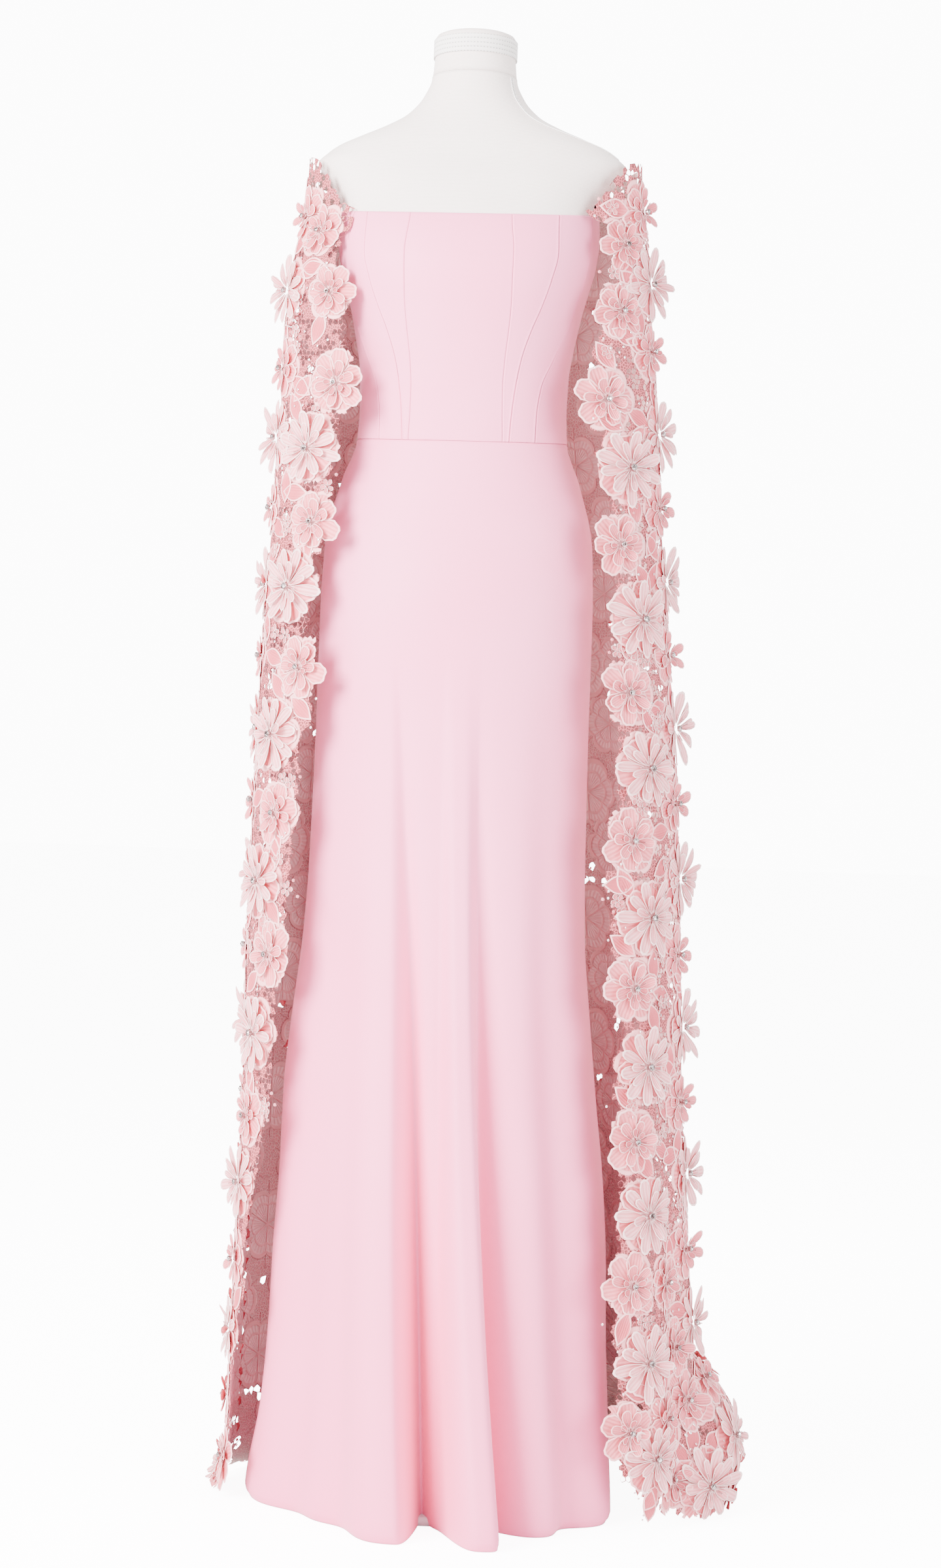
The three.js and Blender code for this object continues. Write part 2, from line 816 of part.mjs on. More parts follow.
const sideColumns = 8 + backColumns;
const formColumns = steps(-sideColumns, sideColumns, 2 * sideColumns).slice(0, -1);
const formRings = formHeights.map((height) => {
  const clearance = height >= firmHeight ? formClearance : hipClearance;
  const skin = new Wall(bodicePlace, gownWall + clearance, -1);
  return formColumns.map((column) => {
    const { innerPoint } = skin.solve({ across: column, down: -height, lift: 0 });
    if (height === formBottom || height === neckHeight) {
      innerPoint.z = height;
    }
    return innerPoint;
  });
});
addMesh('form_body', ringSolid(formRings), formCloth);

// A turned solid from its outline, given as radius and height.
function turned(outline, segments) {
  const points = outline.map(([radius, height]) => new THREE.Vector2(radius, height));
  return new THREE.LatheGeometry(points, segments).rotateX(Math.PI / 2);
}

const capBottom = neckHeight + seamGap;
const neckRadius = 46.6;
addMesh('form_neck_cap', turned([
  [0, capBottom],
  [48.4, capBottom],
  [neckRadius, capBottom + 20],
  [neckRadius, totalHeight - 5],
  [neckRadius - 5, totalHeight - 1],
  [0, totalHeight],
], 32), formCloth);

const trimBottom = totalHeight - 28;
const trimTop = totalHeight - 8;
const trimInner = neckRadius + seamGap;
addMesh('form_neck_trim', turned([
  [trimInner, trimBottom],
  [trimInner + 1.4, trimBottom],
  [trimInner + 1.4, trimTop],
  [trimInner, trimTop],
  [trimInner, trimBottom],
], 32), formTrim);

const baseRadius = 112;
const plateHeight = 10;
const collarRadius = 24;
const collarTop = 46;
const poleRadius = 16;
addMesh('form_base', turned([
  [0, 0],
  [baseRadius, 0],
  [baseRadius, plateHeight - 3],
  [baseRadius - 3, plateHeight],
  [collarRadius, plateHeight + 6],
  [collarRadius, collarTop],
  [0, collarTop],
], 36), formSteel);

addMesh('form_pole', turned([
  [0, collarTop + seamGap],
  [poleRadius, collarTop + seamGap],
  [poleRadius, formBottom - seamGap],
  [0, formBottom - seamGap],
], 20), formSteel);

// Footprint centred on the origin
part.updateMatrixWorld(true);
const box = new THREE.Box3().setFromObject(part, true);
part.position.set(-(box.min.x + box.max.x) / 2, -(box.min.y + box.max.y) / 2, -box.min.z);

export default part;
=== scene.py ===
import bpy
import numpy as np
from mathutils import Matrix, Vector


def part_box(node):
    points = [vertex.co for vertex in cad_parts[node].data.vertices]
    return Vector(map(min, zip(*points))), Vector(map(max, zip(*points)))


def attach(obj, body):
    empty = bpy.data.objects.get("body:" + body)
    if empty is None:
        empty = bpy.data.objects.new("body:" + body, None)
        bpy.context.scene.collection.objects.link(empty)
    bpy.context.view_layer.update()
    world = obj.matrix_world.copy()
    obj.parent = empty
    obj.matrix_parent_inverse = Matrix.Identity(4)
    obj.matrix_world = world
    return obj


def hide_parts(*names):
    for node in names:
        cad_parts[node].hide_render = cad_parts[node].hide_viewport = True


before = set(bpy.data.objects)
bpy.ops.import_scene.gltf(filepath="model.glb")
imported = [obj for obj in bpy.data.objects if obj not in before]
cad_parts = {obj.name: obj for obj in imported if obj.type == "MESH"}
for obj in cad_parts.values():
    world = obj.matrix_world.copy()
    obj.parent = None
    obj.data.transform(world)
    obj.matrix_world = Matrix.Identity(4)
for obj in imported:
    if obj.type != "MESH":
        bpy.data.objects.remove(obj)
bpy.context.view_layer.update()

# Camera, floor and light
# A level camera at hip height looks at the gown from a little to its right, turned about its
# own axis by two degrees. A wide pale paper sheet is the floor. A large soft box stands at the
# front left, a weaker one at the right and one high behind, under an evenly white sky.

mm = 0.001
pole_low, pole_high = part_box("form_pole")
axis_x = (pole_low[0] + pole_high[0]) / 2
axis_y = (pole_low[1] + pole_high[1]) / 2
form_axis = np.array([axis_x, axis_y, 0.0])

# The camera in metres, and then, in millimetres, the heights between which the front's
# correction for the view fades out and how smoothly it starts at the form's axis.
azimuth = np.radians(5)
roll = np.radians(2)
distance = 3.5
eye_height = 0.829
aim_right = 0.0233
picture_height = 1.806
sensor = 36
bodice_top = 1487
drop_fade_top = 1560
drop_blend = 40

back = np.array([np.sin(azimuth), -np.cos(azimuth), 0])
right = np.array([np.cos(azimuth), np.sin(azimuth), 0])
up = np.array([0, 0, 1.0])
turned = np.eye(4)
turned[:3, 0] = right * np.cos(roll) + up * np.sin(roll)
turned[:3, 1] = up * np.cos(roll) - right * np.sin(roll)
turned[:3, 2] = back
turned[:3, 3] = form_axis + right * aim_right + back * distance + up * eye_height
camera_data = bpy.data.cameras.new("camera")
camera_data.sensor_width = sensor
camera_data.lens = sensor * distance / picture_height
camera = bpy.data.objects.new("camera", camera_data)
camera.matrix_world = Matrix(turned.tolist())
bpy.context.scene.collection.objects.link(camera)
bpy.context.scene.camera = camera


def grid_faces(rows, columns, closed=False):
    """Quads of a grid of rows by columns of points, numbered row by row, with the last
    column joined to the first where the grid is closed."""
    ends = columns if closed else columns - 1
    i, j = np.meshgrid(np.arange(rows - 1), np.arange(ends), indexing="ij")
    after = (j + 1) % columns
    corners = [i * columns + j, i * columns + after, (i + 1) * columns + after, (i + 1) * columns + j]
    return np.stack(corners, -1).reshape(-1, 4)


def seated(points):
    """Points whose height was read at the form's axis, at their true height. In front of the
    axis and above the eye, z falls by (z - eye) forward / distance, up to the bodice's top,
    where forward is (sqrt(y^2 + 40^2) - y) / 2."""
    x, y, z = points.T
    fade = np.clip((drop_fade_top - z) / (drop_fade_top - bodice_top), 0, 1)
    forward = (np.hypot(y, drop_blend) - y) / 2
    drop = np.clip(z - eye_height / mm, 0, None) * fade * forward / (distance / mm)
    return np.stack([x, y, z - drop], -1)


def add_mesh(name, points, faces, uv=None, material=None, node=None, slot=None):
    """One smooth mesh object from points in millimetres about the form's axis and one or more
    arrays of faces. Its UV map holds a pair for each point, or for each corner of the faces."""
    points = seated(np.asarray(points, float).reshape(-1, 3)) * mm + form_axis
    groups = faces if isinstance(faces, list) else [faces]
    corners = np.concatenate([group.ravel() for group in groups])
    sides = np.concatenate([np.full(len(group), group.shape[1]) for group in groups])
    used, renumbered = np.unique(corners, return_inverse=True)
    mesh = bpy.data.meshes.new(name)
    mesh.vertices.add(len(used))
    mesh.vertices.foreach_set("co", points[used].ravel())
    mesh.loops.add(len(corners))
    mesh.loops.foreach_set("vertex_index", renumbered.ravel().astype(np.int32))
    mesh.polygons.add(len(sides))
    mesh.polygons.foreach_set("loop_start", (np.cumsum(sides) - sides).astype(np.int32))
    if uv is not None:
        uv = np.asarray(uv, float).reshape(-1, 2)
        uv = uv if len(uv) == len(corners) else uv[corners]
        mesh.uv_layers.new(name="UVMap").data.foreach_set("uv", uv.ravel())
    mesh.update(calc_edges=True)
    mesh.polygons.foreach_set("use_smooth", np.ones(len(mesh.polygons), bool))
    made = bpy.data.objects.new(name, mesh)
    bpy.context.scene.collection.objects.link(made)
    if material is not None:
        mesh.materials.append(material)
    if slot is not None:
        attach(made, "root")
    if node is not None:
        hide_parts(node)
    return made


def new_material(name, colour, roughness):
    """A Principled material of a colour and a roughness, its node tree and its shader."""
    made = bpy.data.materials.new(name)
    made.use_nodes = True
    shader = made.node_tree.nodes["Principled BSDF"]
    shader.inputs["Base Color"].default_value = (*colour, 1)
    shader.inputs["Roughness"].default_value = roughness
    return made, made.node_tree, shader


def glow(tree, always, seen, socket):
    """The strength of a light: always there, and more of it where the camera sees it directly."""
    path = tree.nodes.new("ShaderNodeLightPath")
    strength = tree.nodes.new("ShaderNodeMath")
    strength.operation = "MULTIPLY_ADD"
    strength.inputs[1].default_value = seen
    strength.inputs[2].default_value = always
    tree.links.new(path.outputs["Is Camera Ray"], strength.inputs[0])
    tree.links.new(strength.outputs[0], socket)


paper, tree, shader = new_material("paper", (0.93, 0.93, 0.93), 0.9)
shader.inputs["Emission Color"].default_value = (1, 1, 1, 1)
glow(tree, 0, 10, shader.inputs["Emission Strength"])
paper_half = 30000
paper_points = paper_half * np.array([[-1, -1, 0], [1, -1, 0], [-1, 1, 0], [1, 1, 0]])
floor = add_mesh("floor", paper_points, grid_faces(2, 2), material=paper)


def add_light(name, place, aim, size, power, colour):
    """A square soft box at a place in metres that faces its aim."""
    data = bpy.data.lights.new(name, "AREA")
    data.size = size
    data.energy = power
    data.color = colour
    made = bpy.data.objects.new(name, data)
    away = np.array(place, float) - np.array(aim, float)
    away /= np.linalg.norm(away)
    side = np.cross(up, away)
    side /= np.linalg.norm(side)
    frame = np.eye(4)
    frame[:3, 0] = side
    frame[:3, 1] = np.cross(away, side)
    frame[:3, 2] = away
    frame[:3, 3] = place
    made.matrix_world = Matrix(frame.tolist())
    bpy.context.scene.collection.objects.link(made)


add_light("key", (-2.6, -3.2, 2.4), (0, 0, 0.9), 2.2, 900, (1, 0.99, 0.98))
add_light("fill", (3.0, -2.4, 1.5), (0, 0, 0.8), 2.0, 170, (1, 1, 1))
add_light("rear", (0.4, 2.2, 2.8), (0, 0, 0.9), 1.8, 90, (1, 1, 1))
world = bpy.data.worlds.new("studio")
world.use_nodes = True
sky = world.node_tree.nodes["Background"].inputs
sky["Color"].default_value = (1, 1, 1, 1)
glow(world.node_tree, 1.7, 10.5, sky["Strength"])
bpy.context.scene.world = world

# Dress form
# A limbless torso of papier-mache with a padding, under a tight white jersey cover sewn up
# with an open zigzag seam over the right shoulder. A stitched tape finishes the neck, and a
# white steel pole carries the form on a flat round base.

degree = np.pi / 180
gown_wall = 1.6
seam_gap = 0.3
waist_height = 1224
firm_height = 1245
form_bottom = 930
neck_height = 1640
total_height = 1690

# Height, half width, front depth, back depth and squareness of the gown's upper part and,
# above it, of the form's shoulders and neck.
body_sections = [
    (930, 157, 112, 124, 2.1),
    (1014, 157, 112, 122, 2.1),
    (1104, 154, 108, 112, 2.1),
    (1180, 136, 99, 96, 2.1),
    (1224, 121, 93, 84, 2.15),
    (1262, 119, 93, 82, 2.2),
    (1300, 120, 97, 83, 2.2),
    (1340, 126, 105, 87, 2.25),
    (1375, 133, 114, 91, 2.3),
    (1405, 141, 121, 94, 2.35),
    (1430, 147, 124, 97, 2.35),
    (1460, 150, 119, 98, 2.35),
    (1487, 149, 109, 97, 2.3),
    (1505, 156, 98, 95, 2.2),
    (1525, 170, 86, 90, 2.1),
    (1541, 180, 75, 82, 2),
    (1550, 171, 70, 78, 2),
    (1558, 160, 66, 74, 2),
    (1570, 134, 61, 68, 2),
    (1582, 105, 57, 63, 2),
    (1596, 79, 54, 59, 2),
    (1617, 60, 52, 54, 2),
    (1640, 51, 51, 51, 2),
]


def read_table(table, at):
    """Every column of a table of rows at any place of its first column, on smooth curves.

    Between rows a and b, with t = (at - a) / (b - a), a value is start
    + (end - start) t^2 (3 - 2t) + slope_a t (1 - t)^2 - slope_b t^2 (1 - t). A slope is the
    harmonic mean of the slopes on its two sides, and zero at the ends and where they differ
    in sign.
    """
    rows = np.array(table, float)
    keys, values = rows[:, 0], rows[:, 1:]
    spans = np.diff(keys)[:, None]
    grades = np.diff(values, axis=0) / spans
    product = grades[:-1] * grades[1:]
    total = np.where(product > 0, grades[:-1] + grades[1:], 1)
    slopes = np.zeros_like(values)
    slopes[1:-1] = np.where(product > 0, 2 * product / total, 0)
    place = np.clip(at, keys[0], keys[-1])
    index = np.clip(np.searchsorted(keys, place) - 1, 0, len(keys) - 2)
    span = spans[index, 0]
    t = ((place - keys[index]) / span)[..., None]
    span = span[..., None]
    rise = t * t * (3 - 2 * t)
    value = values[index] + (values[index + 1] - values[index]) * rise
    value += slopes[index] * span * t * (1 - t) ** 2 - slopes[index + 1] * span * t * t * (1 - t)
    return np.moveaxis(value, -1, 0)


def section_radius(angle, side, depth, square):
    """Radius of a rounded section, ((|sin a| / side)^p + (|cos a| / depth)^p)^(-1/p)."""
    across = np.abs(np.sin(angle * degree)) / side
    along = np.abs(np.cos(angle * degree)) / depth
    return (across**square + along**square) ** (-1 / square)


def polar(angle, radius, height):
    """Points at (r sin a, -r cos a, z), where angle 0 is the front and 90 the right."""
    angle, radius, height = np.broadcast_arrays(angle, radius, height)
    return np.stack([radius * np.sin(angle * degree), -radius * np.cos(angle * degree), height], -1)


def body_radius(angle, height):
    """Radius of the gown's upper part at an angle and a height."""
    half, front, behind, square = read_table(body_sections, height)
    depth = np.where(np.abs(angle) < 90, front, behind)
    return section_radius(angle, half, depth, square)


def put(tree, kind, inputs=(), output=0, **settings):
    """One shader node with its settings and inputs, each input a value or another node's
    output, and the output of it that is used."""
    made = tree.nodes.new(kind)
    for setting, value in settings.items():
        setattr(made, setting, value)
    for socket, value in dict(inputs).items():
        if isinstance(value, bpy.types.NodeSocket):
            tree.links.new(value, made.inputs[socket])
        else:
            made.inputs[socket].default_value = value
    return made.outputs[output]


def calculate(tree, operation, *values, use_clamp=False):
    """A math node over one to three values, held between 0 and 1 where it is clamped."""
    return put(tree, "ShaderNodeMath", dict(enumerate(values)), operation=operation, use_clamp=use_clamp)


def step_up(tree, value, low, high):
    """A smooth step from 0 at low to 1 at high."""
    limits = {"Value": value, "From Min": low, "From Max": high}
    return put(tree, "ShaderNodeMapRange", limits, interpolation_type="SMOOTHSTEP")


def blend(tree, share, first, second):
    """A colour between two others."""
    colours = {"Factor": share, 6: first, 7: second}
    return put(tree, "ShaderNodeMix", colours, output=2, data_type="RGBA")


def new_group(name, inputs, outputs):
    """An empty shader group, its sockets for named inputs and those for its output values."""
    tree = bpy.data.node_groups.new(name, "ShaderNodeTree")
    for socket, kind in inputs.items():
        tree.interface.new_socket(name=socket, in_out="INPUT", socket_type="NodeSocket" + kind)
    for socket in outputs:
        tree.interface.new_socket(name=socket, in_out="OUTPUT", socket_type="NodeSocketFloat")
    return tree, tree.nodes.new("NodeGroupInput").outputs, tree.nodes.new("NodeGroupOutput").inputs


def use_group(tree, group, inputs):
    """A group in a material, with its inputs set, and its outputs."""
    made = tree.nodes.new("ShaderNodeGroup")
    made.node_tree = group
    for socket, value in inputs.items():
        if isinstance(value, bpy.types.NodeSocket):
            tree.links.new(value, made.inputs[socket])
        else:
            made.inputs[socket].default_value = value
    return made.outputs


def noise(tree, place, scale, detail=2.0, **settings):
    """Soft noise from 0 to 1 over a place, scale waves to a unit."""
    return put(tree, "ShaderNodeTexNoise", {"Vector": place, "Scale": scale, "Detail": detail}, **settings)


def axes(tree, vector):
    """The X, Y and Z outputs of a vector."""
    split = tree.nodes.new("ShaderNodeSeparateXYZ")
    tree.links.new(vector, split.inputs[0])
    return split.outputs


def on_object(tree):
    """The place on the piece in metres."""
    return put(tree, "ShaderNodeTexCoord", output="Object")


def on_cut(tree):
    """The place on the piece's own map."""
    return put(tree, "ShaderNodeUVMap", uv_map="UVMap")


def wave(tree, turn):
    """A sine of an angle, between 0 and 1."""
    return calculate(tree, "MULTIPLY_ADD", calculate(tree, "SINE", turn), 0.5, 0.5)


def finish_surface(tree, shader, colour, height=None, millimetres=0.0):
    """A material's colour and, from a height of 0 to 1 times a depth, its surface detail."""
    if colour is not None:
        tree.links.new(colour, shader.inputs["Base Color"])
    if height is not None:
        bump = put(tree, "ShaderNodeBump", {"Height": height, "Distance": millimetres * mm})
        tree.links.new(bump, shader.inputs["Normal"])


t, given, result = new_group("knit", {"Place": "Vector"}, ("Tone", "Height"))
fuzz = noise(t, given["Place"], 800.0, 3.0)
bend = calculate(t, "MULTIPLY_ADD", axes(t, given["Place"])["Z"], 4200.0, calculate(t, "MULTIPLY", fuzz, 3.0))
t.links.new(noise(t, given["Place"], 7.0), result["Tone"])
t.links.new(calculate(t, "MULTIPLY_ADD", wave(t, bend), 0.5, fuzz), result["Height"])

jersey, tree, shader = new_material("form_jersey", (0.9, 0.78, 0.75), 0.85)
knit = use_group(tree, t, {"Place": on_object(tree)})
jersey_tone = step_up(tree, knit["Tone"], 0.35, 0.65)
jersey_colour = blend(tree, jersey_tone, (0.87, 0.75, 0.72, 1), (0.9, 0.79, 0.76, 1))
shader.inputs["Sheen Weight"].default_value = 0.2
finish_surface(tree, shader, jersey_colour, knit["Height"], 0.25)
form_angles = np.linspace(-180, 180, 121)[:-1]
form_heights = np.concatenate([
    np.linspace(form_bottom, bodice_top, 44)[:-1],
    np.linspace(bodice_top, neck_height, 50),
])
clear_of_skirt = 3.5
clear_of_bodice = 0.4
wide_angle, tall = np.meshgrid(form_angles, form_heights)
clearance = np.where(tall < firm_height, clear_of_skirt, clear_of_bodice)
form_radius = body_radius(wide_angle, tall) - gown_wall - clearance
form_points = polar(wide_angle, form_radius, tall)
form_faces = grid_faces(len(form_heights), len(form_angles), closed=True)


def capped(points, faces, columns):
    """A closed tube's points and triangles with a middle point at its first and last ring."""
    points = points.reshape(-1, 3)
    last = len(points) - columns
    middle = np.stack([points[:columns].mean(0), points[last:].mean(0)])
    j = np.arange(columns)
    after = (j + 1) % columns
    first_pole = np.full(columns, len(points))
    bottom = np.stack([after, j, first_pole], -1)
    top = np.stack([last + j, last + after, first_pole + 1], -1)
    halves = np.concatenate([faces[:, [0, 1, 2]], faces[:, [0, 2, 3]]])
    return np.concatenate([points, middle]), np.concatenate([halves, bottom, top])


body_points, body_faces = capped(form_points, form_faces, len(form_angles))
add_mesh("form_torso", body_points, body_faces, material=jersey, node="form_body", slot="form_cloth")


def lathe(name, outline, columns, material, node, slot):
    """A turned closed solid from an outline of (radius, height) rows, first row on the axis."""
    outline = np.array(outline, float)
    angles = np.linspace(0, 360, columns, endpoint=False)
    points = polar(angles[None, :], outline[1:-1, 0][:, None], outline[1:-1, 1][:, None])
    faces = grid_faces(len(outline) - 2, columns, closed=True)
    points, faces = capped(points, faces, columns)
    return add_mesh(name, points, faces, material=material, node=node, slot=slot)


cap_bottom = neck_height + seam_gap
neck_radius = 46.6
neck_cap_outline = [
    (0, cap_bottom),
    (48.4, cap_bottom),
    (47.6, cap_bottom + 8),
    (neck_radius, cap_bottom + 20),
    (neck_radius, total_height - 8),
    (neck_radius - 0.6, total_height - 5),
    (neck_radius - 2.4, total_height - 2.4),
    (neck_radius - 6, total_height - 0.8),
    (neck_radius - 14, total_height),
    (0, total_height),
]
lathe("form_neck", neck_cap_outline, 96, jersey, "form_neck_cap", "form_cloth")

t, given, result = new_group("stitched_rows", {"Map": "Vector", "Rows": "Float"}, ("Thread", "Line"))
across, up_tape, _ = axes(t, given["Map"])
row_turn = calculate(t, "MULTIPLY", calculate(t, "MULTIPLY", up_tape, given["Rows"]), 2 * np.pi)
stitch_line = step_up(t, calculate(t, "COSINE", row_turn), 0.55, 0.85)
dash = step_up(t, calculate(t, "SINE", calculate(t, "MULTIPLY", across, 2 * np.pi)), -0.5, 0.1)
t.links.new(stitch_line, result["Line"])
t.links.new(calculate(t, "MULTIPLY", stitch_line, dash), result["Thread"])

tape, tree, shader = new_material("neck_tape", (0.87, 0.83, 0.81), 0.7)
stitches = use_group(tree, t, {"Map": on_cut(tree), "Rows": 4.0})
# Painted shade: the sunk stitch lines are painted dark grey along their grooves, with pale thread dashes on
# them.
tape_colour = blend(tree, stitches["Line"], (0.84, 0.79, 0.77, 1), (0.42, 0.38, 0.37, 1))
tape_colour = blend(tree, stitches["Thread"], tape_colour, (0.92, 0.89, 0.87, 1))
finish_surface(tree, shader, tape_colour, stitches["Thread"], 0.4)
tape_bottom = total_height - 28
tape_height = 20
tape_inner = neck_radius + seam_gap
tape_rows = 41
tape_columns = 160
tape_stitches = 80
share = np.linspace(0, 1, tape_rows)[:, None]
around = np.linspace(0, 360, tape_columns, endpoint=False)[None, :]
stitch_lines = np.array([0.12, 0.36, 0.64, 0.88])
pull = np.exp(-(((share[..., None] - stitch_lines) / 0.035) ** 2)).sum(-1)
ripple = 0.5 + 0.5 * np.cos(around * degree * tape_stitches)
tape_radius = tape_inner + 1.4 - pull * (0.25 + 0.3 * ripple)
up_and_down = np.concatenate([share, 1 - share])
both_radii = np.concatenate([tape_radius, np.full_like(tape_radius, tape_inner)])
add_mesh(
    "form_neck_tape",
    polar(around, both_radii, tape_bottom + tape_height * up_and_down),
    grid_faces(2 * tape_rows + 1, tape_columns, closed=True) % (2 * tape_rows * tape_columns),
    uv=np.stack(np.broadcast_arrays(around / 360 * tape_stitches, up_and_down), -1),
    material=tape, node="form_neck_trim", slot="form_trim",
)

# Height on the neck and shoulder, then the angle of the cover's open seam.
cover_seam = [
    (1549, 87), (1560, 83), (1571, 77), (1580, 71), (1587, 67), (1599, 64), (1617, 61), (1640, 64),
]
bar_step = 2.3
bar_reach = 2.4
bar_radius = 0.55
bar_sides = 6
dense_height = np.linspace(cover_seam[0][0], neck_height - 1, 400)


def seam_place(height, aside):
    """Points of the form beside its seam, with aside in millimetres to the back."""
    angle = read_table(cover_seam, height)[0]
    radius = body_radius(angle, height) - gown_wall
    return polar(angle + aside / radius / degree, radius, height)


def corded(path, radius, sides):
    """A round cord: rings of a radius across each point of a path, turned from the path's
    direction and the outward one, closed at both ends."""
    along = np.gradient(path, axis=0)
    outward = path * (1, 1, 0)
    side = np.cross(along, outward)
    side /= np.linalg.norm(side, axis=1, keepdims=True)
    out = np.cross(side, along)
    out /= np.linalg.norm(out, axis=1, keepdims=True)
    turned = np.arange(sides) / sides * 2 * np.pi
    ring = np.cos(turned)[None, :, None] * out[:, None] + np.sin(turned)[None, :, None] * side[:, None]
    points = path[:, None] + radius * ring
    return capped(points, grid_faces(len(path), sides, closed=True), sides)


dense = seam_place(dense_height, 0)
run = np.concatenate([[0], np.cumsum(np.linalg.norm(np.diff(dense, axis=0), axis=1))])
step_height = np.interp(np.arange(0, run[-1], bar_step), run, dense_height)
zigzag = bar_reach * (-1) ** np.arange(len(step_height))
thread, tree, shader = new_material("seam_thread", (0.93, 0.9, 0.89), 0.5)
finish_surface(tree, shader, None, noise(tree, on_object(tree), 1500.0), 0.2)
for name, aside in (
    ("form_seam_zigzag", zigzag),
    ("form_seam_front", -bar_reach),
    ("form_seam_back", bar_reach),
):
    seam_points, seam_faces = corded(seam_place(step_height, aside), bar_radius, bar_sides)
    add_mesh(name, seam_points, seam_faces, material=thread, slot="form_cloth")

steel, tree, shader = new_material("white_steel", (0.78, 0.78, 0.78), 0.35)
finish_surface(tree, shader, None, noise(tree, on_object(tree), 350.0), 0.05)
base_outline = [
    (0, 0), (112, 0), (112, 7), (111.2, 9), (109, 10), (60, 13), (24, 16), (24, 44), (22, 46), (0, 46),
]
lathe("form_stand_base", base_outline, 96, steel, "form_base", "form_steel")
pole_outline = [(0, 46.3), (16, 46.3), (16, 400), (16, 929.7), (0, 929.7)]
lathe("form_stand_pole", pole_outline, 32, steel, "form_pole", "form_steel")

# Bodice
# Nine pieces of pale pink crepe are joined by seams pressed open. The curved princess and side
# seams carry a thin piping, and the straight top edge is turned in.

# Height, then the distance of the inner, princess and side-front seams from the centre.
bodice_seams = [
    (1223, 53.5, 61, 89),
    (1254, 52.5, 62.5, 89.5),
    (1287, 52, 66, 93.5),
    (1320, 54, 72, 106),
    (1352, 57.5, 82, 119),
    (1381, 60, 93.5, 128),
    (1412, 61, 103.5, 137),
    (1443, 61.5, 110, 142),
    (1487, 57.5, 109, 143),
]
side_seam_angle = 100


def seam_angles(height):
    """Angles of the centre, the three front seams, the side seam and the centre back."""
    half, front, behind, square = read_table(body_sections, height)
    x = read_table(bodice_seams, height)
    y = front * (1 - (x / half) ** square) ** (1 / square)
    angles = np.arctan2(x, y) / degree
    level = np.ones_like(height)[None]
    return np.concatenate([0 * level, angles, side_seam_angle * level, 180 * level])


t, given, result = new_group("crepe_grain", {"Place": "Vector"}, ("Tone", "Height"))
pebble = noise(t, given["Place"], 1100.0)
puckers = noise(t, given["Place"], 160.0, 1.0)
t.links.new(noise(t, given["Place"], 5.0), result["Tone"])
t.links.new(calculate(t, "MULTIPLY_ADD", puckers, 0.8, pebble), result["Height"])

crepe, tree, shader = new_material("crepe", (0.95, 0.26, 0.43), 0.6)
crepe_place = on_object(tree)
grain = use_group(tree, t, {"Place": crepe_place})
crepe_tone = step_up(tree, grain["Tone"], 0.3, 0.7)
crepe_colour = blend(tree, crepe_tone, (0.96, 0.25, 0.45, 1), (0.96, 0.28, 0.48, 1))
# Painted shade: over the lowest metre the crepe turns deeper and more saturated towards the floor.
painted_low_shade = step_up(tree, axes(tree, crepe_place)["Z"], 0, 1)
crepe_colour = blend(tree, painted_low_shade, (0.955, 0.21, 0.41, 1), crepe_colour)
shader.inputs["Sheen Weight"].default_value = 0.25
shader.inputs["Sheen Roughness"].default_value = 0.4
finish_surface(tree, shader, crepe_colour, grain["Height"], 0.12)
piping_height = 0.55
piping_place = 1.7
piping_width = 0.8
seam_dip = 0.9
seam_width = 0.6
edge_shares = np.array([0, 0.005, 0.011, 0.018, 0.027, 0.04, 0.06, 0.09, 0.13])
inner_shares = np.linspace(0.13, 0.87, 22)
panel_shares = np.concatenate([edge_shares, inner_shares[1:-1], 1 - edge_shares[::-1]])
panel_heights = np.concatenate([
    [waist_height + seam_gap / 2, waist_height + 0.9, waist_height + 2],
    np.linspace(waist_height + 4, bodice_top - 5, 42),
    [bodice_top - 3, bodice_top - 1.6, bodice_top - 0.7, bodice_top],
])

# Piece and node, its two seam lines counted from the centre front, and how far the piping
# stands out along each.
panel_lines = [
    ("crepe_centre_front", "bodice_centre_front", -1, 1, 0.35, 0.35),
    ("crepe_front_right", "bodice_front_right", 1, 2, 0.35, 1.0),
    ("crepe_front_left", "bodice_front_left", -2, -1, 1.0, 0.35),
    ("crepe_side_front_right", "bodice_side_front_right", 2, 3, 0.4, 1.0),
    ("crepe_side_front_left", "bodice_side_front_left", -3, -2, 1.0, 0.4),
    ("crepe_side_right", "bodice_side_right", 3, 4, 0.4, 0.5),
    ("crepe_side_left", "bodice_side_left", -4, -3, 0.5, 0.4),
    ("crepe_back_right", "bodice_back_right", 4, 5, 0.5, 0.5),
    ("crepe_back_left", "bodice_back_left", -5, -4, 0.5, 0.5),
]


def ridge_at(away, height, width):
    """A rounded ridge, height exp(-(away / width)^2), or a groove where the height is below zero."""
    return height * np.exp(-((away / width) ** 2))


def lofted(name, points, node):
    """One sheet of crepe from a grid of points in rows from the bottom up and columns to the
    right, with a UV map in metres along its rows and columns, which are also its cut."""
    rows, columns = points.shape[:2]
    run = np.linalg.norm(np.diff(points, axis=1), axis=-1)
    rise = np.linalg.norm(np.diff(points, axis=0), axis=-1)
    u = np.concatenate([np.zeros((rows, 1)), np.cumsum(run, 1)], 1) * mm
    v = np.concatenate([np.zeros((1, columns)), np.cumsum(rise, 0)], 0) * mm
    made = add_mesh(
        name, points, grid_faces(rows, columns), uv=np.stack([u, v], -1),
        material=crepe, node=node, slot="crepe",
    )
    wall = made.modifiers.new("wall", "SOLIDIFY")
    wall.thickness = gown_wall * mm
    wall.offset = -1


